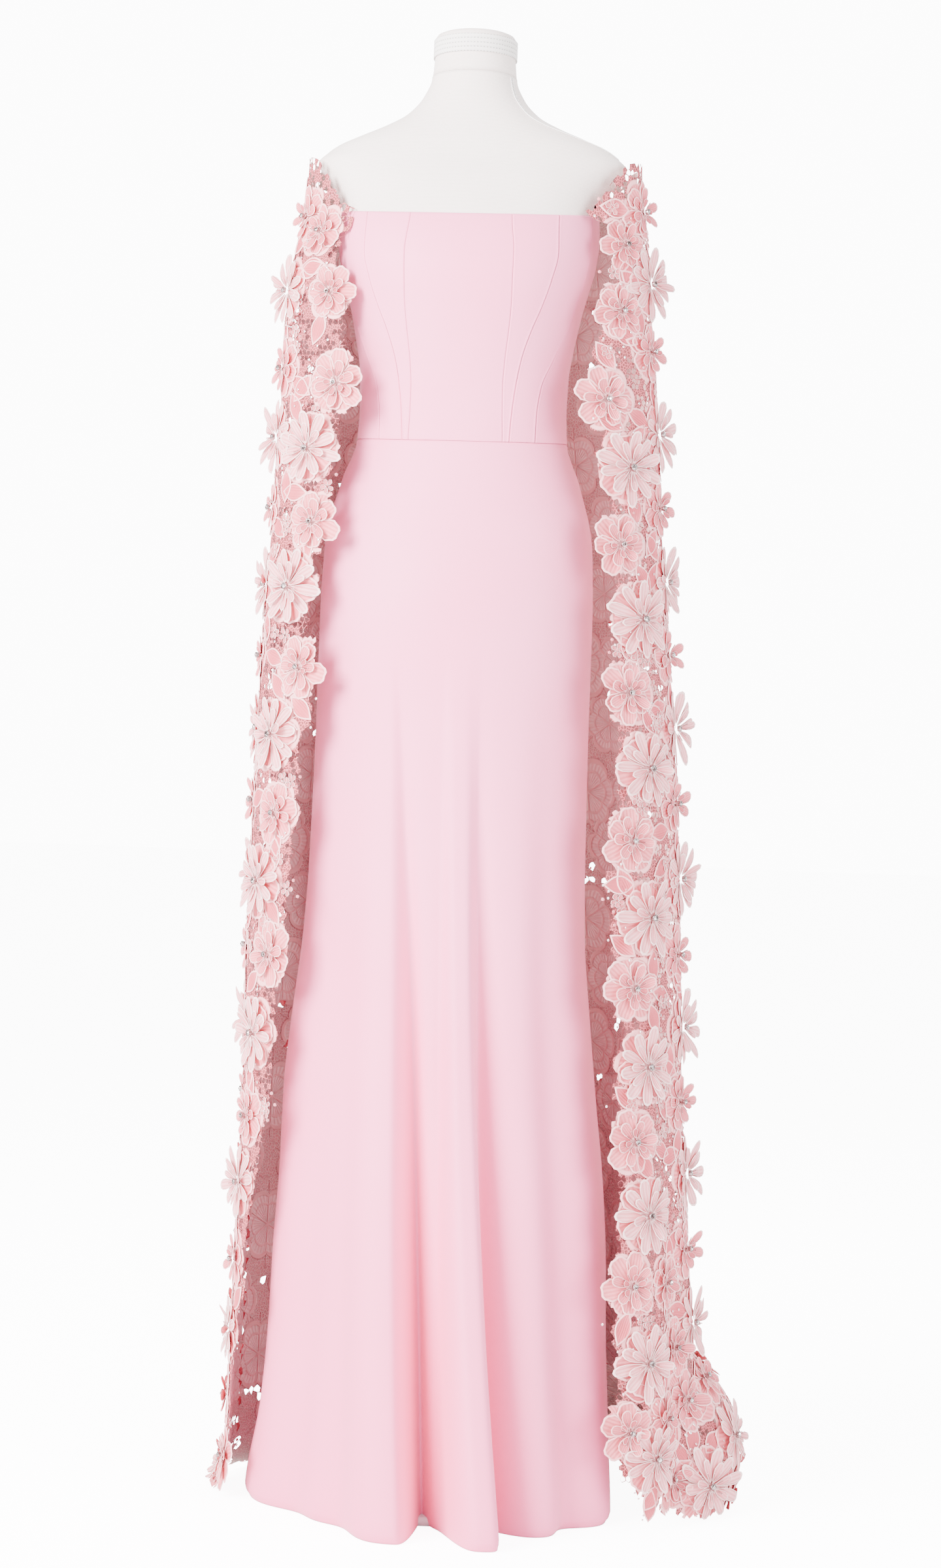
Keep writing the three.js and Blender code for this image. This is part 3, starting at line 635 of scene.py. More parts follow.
for name, node, low, high, low_pipe, high_pipe in panel_lines:
    s, z = np.meshgrid(panel_shares, panel_heights)
    lines = seam_angles(z)
    low_angle = np.sign(low) * lines[abs(low)]
    high_angle = np.sign(high) * lines[abs(high)]
    angle = low_angle + (high_angle - low_angle) * s
    radius = body_radius(angle, z)
    width = np.abs(high_angle - low_angle) * degree * radius
    gap_angle = seam_gap / 2 / radius / degree
    angle = np.clip(angle, low_angle + gap_angle, high_angle - gap_angle)
    relief = ridge_at(bodice_top - z, -0.8, 0.9) + ridge_at(z - waist_height, -0.6, 1.2)
    for piping, away in ((low_pipe, width * s), (high_pipe, width * (1 - s))):
        relief += ridge_at(away - piping_place, piping * piping_height, piping_width)
        relief += ridge_at(away, -seam_dip * (0.4 + 0.6 * piping), seam_width)
    lofted(name, polar(angle, radius + relief, z), node)

# Skirt
# Three widths of the same crepe hang from the waist seam to the floor. The cloth falls
# smoothly over the hips and breaks into deep soft folds at the front hem.

flare_height = 1000
hem_height = 0.6
hem_roll = 6
skirt_square = 2.1

# Height, then the reach to the right, left, front and back before the folds.
skirt_sections = [
    (0, 212, 206, 150, 196),
    (113, 207, 191, 144, 186),
    (203, 202, 186, 138, 176),
    (293, 199, 184, 133, 166),
    (383, 192, 180, 128, 158),
    (473, 181, 179, 122, 150),
    (563, 171, 172, 118, 142),
    (653, 162, 163, 115, 134),
    (743, 159, 159, 114, 128),
    (924, 157, 157, 112, 124),
    (1014, 157, 157, 112, 122),
    (1104, 154, 154, 108, 112),
    (1180, 136, 136, 99, 96),
    (1224, 121, 121, 93, 84),
]

# Angle of each fold at the flare and at the hem, how late it drifts, its half width in
# degrees on its two sides, its depth at the hem, below zero for a valley, and how flat its
# top is, 2 for a plain bell.
skirt_folds = [
    (-34, -3.5, 0.9, 20, 4.2, 60, 3),
    (-28.5, 2.8, 0.9, 2, 6, -46, 2),
    (-24, 9, 0.9, 8, 8, -12, 2),
    (8, 22, 1, 7.4, 7.2, 80, 4),
    (20, 32, 1, 2.2, 6, -34, 2),
    (40, 47, 1, 11, 11, 26, 2),
    (54, 60, 1, 7, 7, -10, 2),
    (66, 72, 1, 10, 10, 16, 2),
    (-58, -60, 1, 14, 14, -22, 2),
    (-96, -98, 1, 12, 12, 8, 2),
    (104, 106, 1, 12, 12, -14, 2),
    (128, 130, 1, 13, 13, 20, 2),
    (152, 153, 1, 10, 10, -18, 2),
    (176, 176, 1, 12, 12, 22, 2),
    (-126, -128, 1, 13, 13, 20, 2),
    (-152, -153, 1, 11, 11, -16, 2),
]
fold_growth = 1.5


def turn(angle, other):
    """Shortest turn from one angle to another, in degrees."""
    return (angle - other + 540) % 360 - 180


def skirt_radius(angle, height):
    """Radius of the skirt: its section plus the folds, each depth exp(-|turn / width|^flat)
    fall^1.5, where fall grows from 0 at the flare to 1 at the floor."""
    to_right, to_left, front, behind = read_table(skirt_sections, height)
    side = np.where(angle > 0, to_right, to_left)
    depth = np.where(np.abs(angle) < 90, front, behind)
    fall = np.clip((flare_height - height) / flare_height, 0, 1)
    folds = 0
    for top, hem, drift, before, after, depth_at_hem, flatness in skirt_folds:
        away = turn(angle, top + (hem - top) * fall**drift)
        share = away / np.where(away < 0, before, after)
        folds = folds + depth_at_hem * np.exp(-(np.abs(share) ** flatness))
    return section_radius(angle, side, depth, skirt_square) + folds * fall**fold_growth


skirt_top = waist_height - seam_gap / 2
skirt_heights = np.concatenate([
    [hem_height, hem_height + 2.5, hem_height + 6],
    np.linspace(12, skirt_top - 8, 78),
    [skirt_top - 5, skirt_top - 3, skirt_top - 1.5, skirt_top - 0.6, skirt_top],
])
front_columns = np.concatenate([
    np.linspace(-90, -45, 31), np.linspace(-44, 44, 147), np.linspace(45, 90, 31),
])
for name, columns in (
    ("skirt_front", front_columns),
    ("skirt_back_right", np.linspace(90, 180, 61)),
    ("skirt_back_left", np.linspace(-180, -90, 61)),
):
    low, high = columns[0], columns[-1]
    angle, z = np.meshgrid(columns, skirt_heights)
    radius = skirt_radius(np.clip(angle, -179.999, 179.999), z)
    gap_angle = seam_gap / 2 / radius / degree
    angle = np.clip(angle, low + gap_angle, high - gap_angle)
    away = np.minimum(angle - low, high - angle) * degree * radius
    below_waist = skirt_top - z
    relief = ridge_at(away, -0.8, 1.2) + ridge_at(z, -hem_roll, hem_roll)
    relief += ridge_at(below_waist, -0.7, 1.1) + ridge_at(below_waist - 3.2, 0.5, 1.6)
    skirt_points = polar(angle, radius + relief, z)
    lofted("crepe_" + name, skirt_points, name)

# Lace cape
# Two fronts and two backs of corded guipure lace, joined at the sides and the centre back,
# hang from lace straps over the shoulder points and end in a small train. Threads bridge the
# holes of the net between closely worked flowers and leaves.

lace_wall = 2

# Height, then how far the hanging lace stands from the form's axis on each side.
cape_sections = [
    (0, 236, 302, 158, 272),
    (60, 233, 299, 158, 262),
    (160, 231, 295, 158, 246),
    (296, 229, 285, 156, 222),
    (476, 227, 274, 152, 202),
    (656, 228, 266, 146, 186),
    (837, 225, 257, 138, 172),
    (1018, 221, 241, 128, 156),
    (1198, 213, 226, 116, 138),
    (1378, 207, 212, 108, 122),
    (1440, 199, 206, 104, 116),
    (1466, 193, 203, 99, 112),
    (1487, 191, 200, 92.4, 109),
    (1541, 188, 196, 88, 98),
]

# Height, then the distance of the left and right front edges from the centre plane.
cape_edges = [
    (0, 231, 219),
    (142, 219, 208),
    (324, 198, 204),
    (500, 173, 202),
    (563, 172, 200),
    (608, 170, 192),
    (687, 160, 183),
    (744, 156, 187),
    (914, 149, 184),
    (1094, 146, 171),
    (1195, 126, 161),
    (1231, 119, 152),
    (1339, 117, 144),
    (1380, 122, 152),
    (1428, 144, 166),
    (1455, 134, 176),
    (1470, 126, 172),
    (1480, 125, 146),
    (1487, 124, 128),
]

# Angle from the front, then the height of the lace's top edge.
cape_top = [
    (40, 1487),
    (47, 1494),
    (52, 1506),
    (58, 1522),
    (69, 1539),
    (85, 1543),
    (105, 1540),
    (140, 1526),
    (180, 1514),
]

# Angle, the height where the lace starts to spread on the floor, how far it spreads, how
# round the spread is and how high the hem hangs.
cape_hem = [
    (-180, 90, 190, 0, 0),
    (-150, 80, 140, 0, 0),
    (-120, 60, 50, 0, 0),
    (-100, 50, 24, 0.2, 0),
    (-75, 30, 2, 0, 4),
    (0, 30, 0, 0, 40),
    (50, 30, 0, 0, 42),
    (70, 60, 6, 0, 20),
    (88, 130, 24, 0.6, 0),
    (110, 190, 62, 1, 0),
    (135, 140, 104, 0.5, 0),
    (160, 100, 160, 0.1, 0),
    (180, 90, 190, 0, 0),
]

# Angle, half width in degrees and depth at the hem of each hanging fold.
cape_folds = [
    (-168, 9, -22),
    (-146, 9, 24),
    (-124, 8, -18),
    (-104, 8, 8),
    (76, 8, -12),
    (97, 8, 10),
    (122, 9, -20),
    (145, 9, 24),
    (166, 9, -18),
]
cape_fold_top = 1450
mound_reach = 1.3
mound_turn = 0.8 * np.pi
fullest_spread = 1.02
hem_line = 1
least_upward = 0.3
least_beyond = 0.5
panel_seam = 105


def cape_point(angle, line_height):
    """Points of the hanging lace at x = (side + out) sin a, y = -(depth + out) cos a. The
    fold depths grow as fall^1.5. Below the start of the spread, with quarter = spread 90
    degrees, out gains reach (1 - cos quarter) and z falls as start (1 - sin quarter). Where
    the spread is round, out gains 1.3 reach sin(144 degrees spread) and z falls evenly."""
    angle, line_height = np.broadcast_arrays(angle, line_height)
    facing = turn(angle, 0)
    height = np.maximum(line_height, 0)
    to_left, to_right, front, behind = read_table(cape_sections, height)
    side = np.where(facing > 0, to_right, to_left)
    depth = np.where(np.abs(facing) < 90, front, behind)
    outward = 0
    for fold, width, depth_at_hem in cape_folds:
        outward = outward + depth_at_hem * np.exp(-((turn(angle, fold) / width) ** 2))
    outward = outward * np.clip((cape_fold_top - height) / cape_fold_top, 0, 1) ** fold_growth
    start, reach, round_share, lift = read_table(cape_hem, facing)
    spread = np.clip((start - line_height) / start, 0, fullest_spread)
    quarter = spread * np.pi / 2
    mound = mound_reach * np.sin(mound_turn * spread)
    outward = outward + reach * ((1 - np.cos(quarter)) * (1 - round_share) + mound * round_share)
    drop = start * ((1 - np.sin(quarter)) * (1 - round_share) + (1 - spread) * round_share)
    drop = np.where(spread > 0, drop, height)
    across, along = np.sin(angle * degree), -np.cos(angle * degree)
    x, y = (side + outward) * across, (depth + outward) * along
    return np.stack([x, y, np.maximum(drop, 0) + hem_height + lace_wall], -1)


def cape_frame(angle, line_height):
    """Points of the lace, its unit tangents to the right and upwards with their stretch in
    millimetres for a degree and for a millimetre of line, and its outward normal."""
    turn_step, line_step = 0.05, 0.5
    rightward = cape_point(angle + turn_step, line_height) - cape_point(angle - turn_step, line_height)
    upward = cape_point(angle, line_height + line_step) - cape_point(angle, line_height - line_step)
    right_length = np.linalg.norm(rightward, axis=-1, keepdims=True)
    up_length = np.linalg.norm(upward, axis=-1, keepdims=True)
    right_unit, up_unit = rightward / right_length, upward / np.maximum(up_length, 1e-6)
    normal = np.cross(right_unit, up_unit)
    normal /= np.maximum(np.linalg.norm(normal, axis=-1, keepdims=True), 1e-6)
    stretch = right_length / (2 * turn_step), up_length / (2 * line_step)
    return cape_point(angle, line_height), right_unit, up_unit, normal, stretch


def on_cape(angle, line_height, x, y, lift):
    """Points at x to the right, y up and lift outwards, in millimetres, of places on the lace.
    What reaches past the hem goes straight on, down to the floor."""
    sideways, upwards = cape_frame(angle, line_height)[4]
    there = angle + x / sideways[..., 0]
    height = line_height + y / np.maximum(upwards[..., 0], least_upward)
    held = np.maximum(height, hem_line)
    point, right_unit, up_unit, normal, stretch = cape_frame(there, held)
    beyond = (height - held)[..., None] * np.maximum(stretch[1], least_beyond)
    point = point + normal * lift[..., None] + up_unit * beyond
    point[..., 2] = np.maximum(point[..., 2], hem_height)
    return point


def edge_angle(hand, height):
    """Angle of a front edge, asin(edge / reach), with hand 1 for the left and -1 for the right."""
    to_left, to_right = read_table(cape_edges, height)
    left_reach, right_reach = read_table(cape_sections, height)[:2]
    share = to_left / left_reach if hand > 0 else to_right / right_reach
    return np.arcsin(share) / degree


# Angle from the front, height and size of the worked flowers on the left front, as seen. A
# size over 1 is a large bloom.
left_flowers = [
    (58, 1461, 0.8), (46, 1391, 0.86), (40.5, 1286, 0.98), (52, 1209, 1.1), (47, 1124, 0.95),
    (57, 1048, 1.12), (48.5, 955, 0.96), (62, 876, 1.14), (57, 786, 0.95), (66.6, 708, 1.12),
    (57, 626, 0.98), (66, 535, 1.1), (70, 440, 0.95), (76, 362, 1.08), (80, 272, 0.95), (84, 190, 1.05),
    (88, 112, 0.9), (80, 46, 0.95), (94, 34, 1.05),
    (74, 1478, 0.9), (82, 1392, 1.05), (78, 1302, 0.94), (86, 1222, 1.1), (88, 1140, 0.95), (92, 1052, 1.1),
    (90, 968, 0.95), (94, 884, 1.08), (90, 800, 0.95), (97, 716, 1.1), (92, 632, 0.96), (97, 548, 1.08),
    (97, 462, 0.95), (100, 378, 1.08), (100, 294, 0.95), (101, 206, 1.05), (101, 124, 0.9),
]
right_flowers = [
    (62, 1452, 0.84), (58, 1376, 0.9), (49.5, 1274, 0.98), (60, 1196, 1.14), (54, 1107, 0.96),
    (63.4, 1022, 1.14), (55, 937, 0.98), (63.4, 851, 1.14), (55, 769, 0.98), (63.4, 683, 1.14),
    (55.6, 604, 0.98), (61.4, 516, 1.12), (55.6, 433, 0.98), (60.8, 350, 1.12), (53.7, 273, 0.98),
    (59, 186, 1.12), (52, 111, 0.95), (62, 78, 1.04), (76, 58, 0.95), (70, 120, 0.9), (88, 46, 1.06),
    (101, 18, 0.95), (79, 196, 0.9), (72, 272, 0.85), (100, 86, 1.08), (100, 150, 0.95), (103, 236, 0.9),
    (82, 1490, 0.9), (84, 1408, 1.1), (80, 1330, 0.92), (90, 1236, 1.1), (84, 1150, 0.94), (91, 1066, 1.1),
    (86, 982, 0.94), (92, 898, 1.1), (86, 812, 0.94), (92, 726, 1.1), (87, 640, 0.94), (93, 556, 1.1),
    (88, 472, 0.94), (94, 388, 1.08), (90, 304, 0.94), (93, 218, 1.08), (86, 134, 0.92),
]
flat_angles = np.linspace(0, 180, 181)
flat_heights = np.linspace(0, 1560, 157)
flat_step = flat_heights[1]


def lay_flat(hand):
    """One half of the lace laid flat, as two tables over height and angle: the distance along
    each level from the panel seam, and the distance down each line from the highest level."""
    angles, heights = np.meshgrid(-hand * flat_angles, flat_heights)
    points = cape_point(angles, heights)
    level = np.cumsum(np.linalg.norm(np.diff(points, axis=1), axis=-1), 1)
    level = np.concatenate([np.zeros((len(level), 1)), level], 1)
    level -= level[:, [panel_seam]]
    line = np.cumsum(np.linalg.norm(np.diff(points[::-1], axis=0), axis=-1), 0)
    line = np.concatenate([np.zeros((1, line.shape[1])), line])[::-1]
    return level, line


def split_place(values, count):
    """The whole number below each place of a table and the share of the way to the next."""
    place = np.clip(values, 0, count - 1.001)
    low = place.astype(int)
    return low, place - low


def to_flat(flat, angle, height):
    """Distances along and down the flat lace of places given by angle and line height."""
    i, a = split_place(height / flat_step, len(flat_heights))
    j, b = split_place(np.abs(angle), len(flat_angles))
    mixed = []
    for table in flat:
        lower = table[i, j] * (1 - b) + table[i, j + 1] * b
        upper = table[i + 1, j] * (1 - b) + table[i + 1, j + 1] * b
        mixed.append(lower * (1 - a) + upper * a)
    return mixed


def from_flat(flat, s, t, hand):
    """Angle and line height of places s along and t down the flat lace."""
    level, line = flat
    each = np.arange(len(s))
    i, a = split_place((flat_heights[-1] - t) / flat_step, len(flat_heights))
    rows = level[i] * (1 - a[:, None]) + level[i + 1] * a[:, None]
    j = np.clip((rows < s[:, None]).sum(1) - 1, 0, len(flat_angles) - 2)
    angle = flat_angles[j] + (s - rows[each, j]) / (rows[each, j + 1] - rows[each, j])
    angle = np.clip(angle, 0, 180)
    j, b = split_place(angle, len(flat_angles))
    drops = (line[:, j] * (1 - b) + line[:, j + 1] * b).T
    i = np.clip((drops > t[:, None]).sum(1) - 1, 0, len(flat_heights) - 2)
    share = (t - drops[each, i]) / (drops[each, i + 1] - drops[each, i])
    return -hand * angle, flat_heights[i] + share * flat_step


t, given, result = new_group("worked_flower", {"Map": "Vector"}, ("Cord", "Groove", "Hole", "Height"))
out = put(t, "ShaderNodeVectorMath", {0: given["Map"]}, output="Value", operation="LENGTH")
map_x, map_y, _ = axes(t, given["Map"])
direction = calculate(t, "ARCTAN2", map_y, map_x)
lobe = calculate(t, "ABSOLUTE", calculate(t, "COSINE", calculate(t, "MULTIPLY", direction, 3.0)))
outline = calculate(t, "MULTIPLY_ADD", calculate(t, "POWER", lobe, 0.5), 0.22, 0.78)
ring = calculate(t, "DIVIDE", out, outline)
between = calculate(t, "SUBTRACT", 1.0, step_up(t, calculate(t, "MULTIPLY", lobe, out), 0.02, 0.11))
inside_rim = calculate(t, "SUBTRACT", 1.0, step_up(t, ring, 0.98, 1.05))
rim = calculate(t, "MULTIPLY", step_up(t, ring, 0.84, 0.9), inside_rim)
echo = calculate(t, "SUBTRACT", step_up(t, ring, 0.56, 0.6), step_up(t, ring, 0.63, 0.67))
cord = calculate(t, "MAXIMUM", calculate(t, "MAXIMUM", between, rim), calculate(t, "MULTIPLY", echo, 0.8))
wander = noise(t, given["Map"], 2.5, noise_dimensions="2D")
fan = calculate(t, "MULTIPLY_ADD", wander, 3.0, calculate(t, "MULTIPLY", direction, 42.0))
beyond = step_up(t, ring, 1.0, 1.04)
within = calculate(t, "SUBTRACT", 1.0, beyond)
groove = calculate(t, "MULTIPLY", wave(t, fan), calculate(t, "SUBTRACT", within, cord), use_clamp=True)
edge_distance = put(
    t, "ShaderNodeTexVoronoi", {"Vector": given["Map"], "Scale": 11.0}, output="Distance",
    voronoi_dimensions="2D", feature="DISTANCE_TO_EDGE",
)
# Hole marks dark spots in the net beyond the flower, which the lace paints as shade seen through open holes.
hole = calculate(t, "MULTIPLY", step_up(t, edge_distance, 0.1, 0.2), beyond)
raised = calculate(t, "MULTIPLY_ADD", groove, 0.4, cord)
for socket, value in (
    ("Cord", cord), ("Groove", groove), ("Hole", hole), ("Height", calculate(t, "SUBTRACT", raised, hole)),
):
    t.links.new(value, result[socket])

lace_ground, tree, shader = new_material("lace_ground", (0.86, 0.22, 0.23), 0.75)
worked = use_group(tree, t, {"Map": on_cut(tree)})
painted_light_outside_inside = []
# Painted light, in an outside and an inside copy. Outside, the thread grooves are painted deeper as painted
# shade, the raised cords lighter as a painted highlight, and the holes of the net dark as painted shade seen
# through them. Inside, the colours are lighter and warmer as painted light on the shaded inside, with the
# grooves, the backs of the cords and the holes deeper as painted shade.
for groove_painted_shade, thread_colour, cord_painted_light, hole_painted_shade in (
    ((0.7, 0.14, 0.17, 1), (0.9, 0.27, 0.3, 1), (0.96, 0.42, 0.44, 1), (0.24, 0.045, 0.05, 1)),
    ((0.86, 0.64, 0.6, 1), (0.93, 0.74, 0.7, 1), (0.84, 0.56, 0.53, 1), (0.72, 0.45, 0.43, 1)),
):
    lace_colour = blend(tree, worked["Groove"], groove_painted_shade, thread_colour)
    lace_colour = blend(tree, worked["Cord"], lace_colour, cord_painted_light)
    painted_light_outside_inside.append(blend(tree, worked["Hole"], lace_colour, hole_painted_shade))
# The inside copy goes on the faces turned away, as painted light.
facing_in = put(tree, "ShaderNodeNewGeometry", output="Backfacing")
finish_surface(tree, shader, blend(tree, facing_in, *painted_light_outside_inside), worked["Height"], 1.0)

seed = np.random.default_rng(291)
net_shift = 0.22
filled_share = {"front": 0.45, "back": 0.84}
flower_radius = 40
leaf_length = 26
leaf_width = 12.5
leaf_turns = np.array([0.0, 2.3, 4.3])
edge_band = 5
edge_recess = 13
back_rows = 22
back_first = 52
back_inset = 40
back_step = 76
back_jitter = 7
back_sizes = (1.08, 0.92)
motif_lowest = 14
flower_below_top = 26
leaf_below_top = 16
leaf_from_edge = 4
leaf_from_flower = 12
leaf_end_angle = 172
spots_tried = 640
spots_along = (-170, 400)
spots_down = (60, 1680)
spot_on_flower = 4
spot_lowest = 6
spot_below_top = 10
spot_from_edge = 3
spot_end_angle = 174
rosette_size = 1.1
strap_line = 1419
bar_half = 0.6
bar_rise = 0.3
bar_fall = 0.3
half_lace = 420
hexagon = np.array([(0, 2), (-1, 1), (-1, -1), (0, -2), (1, -1), (1, 1)])


def back_flowers(flat, hand):
    """Places of the flowers on one back: staggered rows with a small seeded shift. The left
    back's odd rows end with a flower on the centre back seam."""
    level, line = flat
    places = []
    for row in range(back_rows):
        t = back_first + row * back_step
        i, a = split_place((flat_heights[-1] - t) / flat_step, len(flat_heights))
        from_seam = (0.5, 0 if hand > 0 else 1)[row % 2]
        first = back_inset + 0.5 * (row % 2) * back_step
        last = level[i, -1] * (1 - a) + level[i + 1, -1] * a
        last = last - from_seam * back_step
        gaps = int(np.round((last - first) / back_step))
        for column, s in enumerate(np.linspace(first, last, gaps + 1)):
            shift = seed.uniform(-back_jitter, back_jitter, 2)
            places.append((s + shift[0], t + shift[1], back_sizes[(row + column) % 2]))
    s, t, size = np.array(places).T
    angle, height = from_flat(flat, s, t, hand)
    top = read_table(cape_top, np.abs(angle))[0]
    keep = (height > motif_lowest) & (height < top - flower_below_top)
    return np.stack([np.abs(angle), height, size], -1)[keep]


def flower_outline(offset, size):
    """Radius of a six-petalled outline in a direction, size R (0.78 + 0.22 |cos 3f|^0.5)."""
    direction = np.arctan2(offset[..., 1], offset[..., 0])
    return size * flower_radius * (0.78 + 0.22 * np.abs(np.cos(3 * direction)) ** 0.5)


def net_limits(flat, hand, side, angle, height):
    """How far along the flat lace a front or back starts and ends at places, and the heights
    of its hem and top edge there."""
    if side == "front":
        low, high = to_flat(flat, edge_angle(hand, height), height)[0], 0
    else:
        low, high = 0, to_flat(flat, np.full_like(height, 180.0), height)[0]
    return low, high, read_table(cape_hem, angle)[3], read_table(cape_top, np.abs(angle))[0]


def net_cells(flat, hand, side, pitch):
    """The hexagons of one front or back in staggered rows, as their centres and corners.

    Gives the flat place and line height of each kept centre, its distance to the worked edge
    and to the free rim, the number of each of its six corners, and the corners' flat places,
    angles and line heights. Corners are shared by cells, shifted a little by seeded steps, and
    drawn on to the seams and edges that they nearly reach.
    """
    tall = pitch / np.cos(np.pi / 6)
    lowest = flat[1].max()
    widest = int(half_lace / pitch)
    rows = np.arange(int(lowest / (0.75 * tall)) + 2)
    row, column = [v.ravel() for v in np.meshgrid(rows, np.arange(-widest, widest), indexing="ij")]
    key_x, key_y = 2 * column + row % 2 + 1, 3 * row
    s, t = key_x * pitch / 2, key_y * tall / 4
    angle, height = from_flat(flat, s, t, hand)
    low, high, lift, top = net_limits(flat, hand, side, angle, height)
    near = 0.25 * pitch
    inside = (s > low + near) & (s < high - near) & (height < top - near) & (height > lift + near)
    inside &= t < lowest
    from_front = s - low if side == "front" else np.full_like(s, pitch * tall)
    to_edge = np.minimum(from_front, top - height)[inside]
    to_rim = np.minimum(from_front, height - lift)[inside]
    centres, centre_height = np.stack([s, t], -1)[inside], height[inside]

    keys = np.stack([key_x, key_y], -1)[inside][:, None, :] + hexagon
    unique, index = np.unique(keys.reshape(-1, 2), axis=0, return_inverse=True)
    s = unique[:, 0] * pitch / 2 + seed.uniform(-net_shift, net_shift, len(unique)) * pitch
    t = unique[:, 1] * tall / 4 + seed.uniform(-net_shift, net_shift, len(unique)) * pitch
    angle, height = from_flat(flat, s, t, hand)
    low, high, _, _ = net_limits(flat, hand, side, angle, height)
    reach = 0.5 * pitch
    s = np.where(s < low + reach, low + seam_gap / 2, s)
    s = np.where(s > high - reach, high - seam_gap / 2, s)
    angle, height = from_flat(flat, s, t, hand)
    _, _, lift, top = net_limits(flat, hand, side, angle, height)
    height = np.where(height > top - reach, top, height)
    height = np.where(height < lift + reach, lift, height)
    corners = np.stack([s, t], -1), angle, height
    return centres, centre_height, to_edge, to_rim, index.reshape(-1, 6), corners


def honeycomb(flat, hand, side, pitch, motifs, leaves, parts):
    """The net of one front or back. Its hexagons are filled inside a flower or a leaf and by a
    seeded share elsewhere, and the rest are open rings of thread. Between its flowers the
    front edge and the hem draw back."""
    centres, height_inside, near_edge, near_rim, index, corners = net_cells(flat, hand, side, pitch)
    flat_corner, angle, height = corners
    corner_point, _, _, normal, _ = cape_frame(angle, height)
    corner_point = corner_point + normal * bar_rise
    away = centres[:, None, :] - motifs[None, :, :2]
    size = motifs[None, :, 2]
    share = np.linalg.norm(away, axis=-1) / flower_outline(away, size)
    nearest = share.argmin(1)
    worked = share.min(1) < 1
    leaf_away = centres[:, None, :] - leaves[None, :, :2]
    along = leaf_away[..., 0] * np.cos(leaves[:, 2]) + leaf_away[..., 1] * np.sin(leaves[:, 2])
    across = leaf_away[..., 1] * np.cos(leaves[:, 2]) - leaf_away[..., 0] * np.sin(leaves[:, 2])
    in_leaf = ((along / leaf_length) ** 2 + (across / leaf_width) ** 2 < 1).any(1)
    filled = worked | in_leaf | (near_edge < edge_band)
    filled |= seed.random(len(centres)) < filled_share[side]
    kept = worked | in_leaf | (near_rim > edge_recess) | (height_inside > strap_line)

    flower = motifs[nearest][:, None]
    shown = (flat_corner[index] - flower[..., :2]) / (flower[..., 2:] * flower_radius) * (-hand, -1)
    middle_point = corner_point[index].mean(1)
    middle_shown = shown.mean(1, keepdims=True)
    inner_share = 1 - bar_half * 2 / pitch
    inner_point = middle_point[:, None] + (corner_point[index] - middle_point[:, None]) * inner_share
    inner_point -= normal[index] * (bar_rise + bar_fall)
    inner_shown = middle_shown + (shown - middle_shown) * inner_share
    high = middle_point[:, 2] > strap_line
    for part, chosen in parts(high):
        full, open_cell = chosen & kept & filled, chosen & kept & ~filled
        count = len(corner_point)
        points = np.concatenate([corner_point, middle_point[full], inner_point[open_cell].reshape(-1, 3)])
        outer, rim_uv = index[full], shown[full]
        hub = np.broadcast_to(count + np.arange(len(outer))[:, None], outer.shape)
        fan = np.stack([outer, np.roll(outer, -1, 1), hub], -1).reshape(-1, 3)
        hub_uv = np.broadcast_to(middle_shown[full], rim_uv.shape)
        fan_uv = np.stack([rim_uv, np.roll(rim_uv, -1, 1), hub_uv], 2)
        outer, rim_uv, hole_uv = index[open_cell], shown[open_cell], inner_shown[open_cell]
        inner = count + full.sum() + np.arange(outer.size).reshape(-1, 6)
        ring = np.stack([outer, np.roll(outer, -1, 1), np.roll(inner, -1, 1), inner], -1).reshape(-1, 4)
        ring_uv = np.stack([rim_uv, np.roll(rim_uv, -1, 1), np.roll(hole_uv, -1, 1), hole_uv], 2)
        fan_uv, ring_uv = fan_uv.reshape(-1, 3, 2), ring_uv.reshape(-1, 4, 2)
        if hand < 0:
            fan, ring, fan_uv, ring_uv = [rows[:, ::-1] for rows in (fan, ring, fan_uv, ring_uv)]
        net = add_mesh(
            "net_" + part.removeprefix("cape_"), points, [fan, ring],
            uv=np.concatenate([fan_uv.reshape(-1, 2), ring_uv.reshape(-1, 2)]),
            material=lace_ground, node=part, slot="lace",
        )


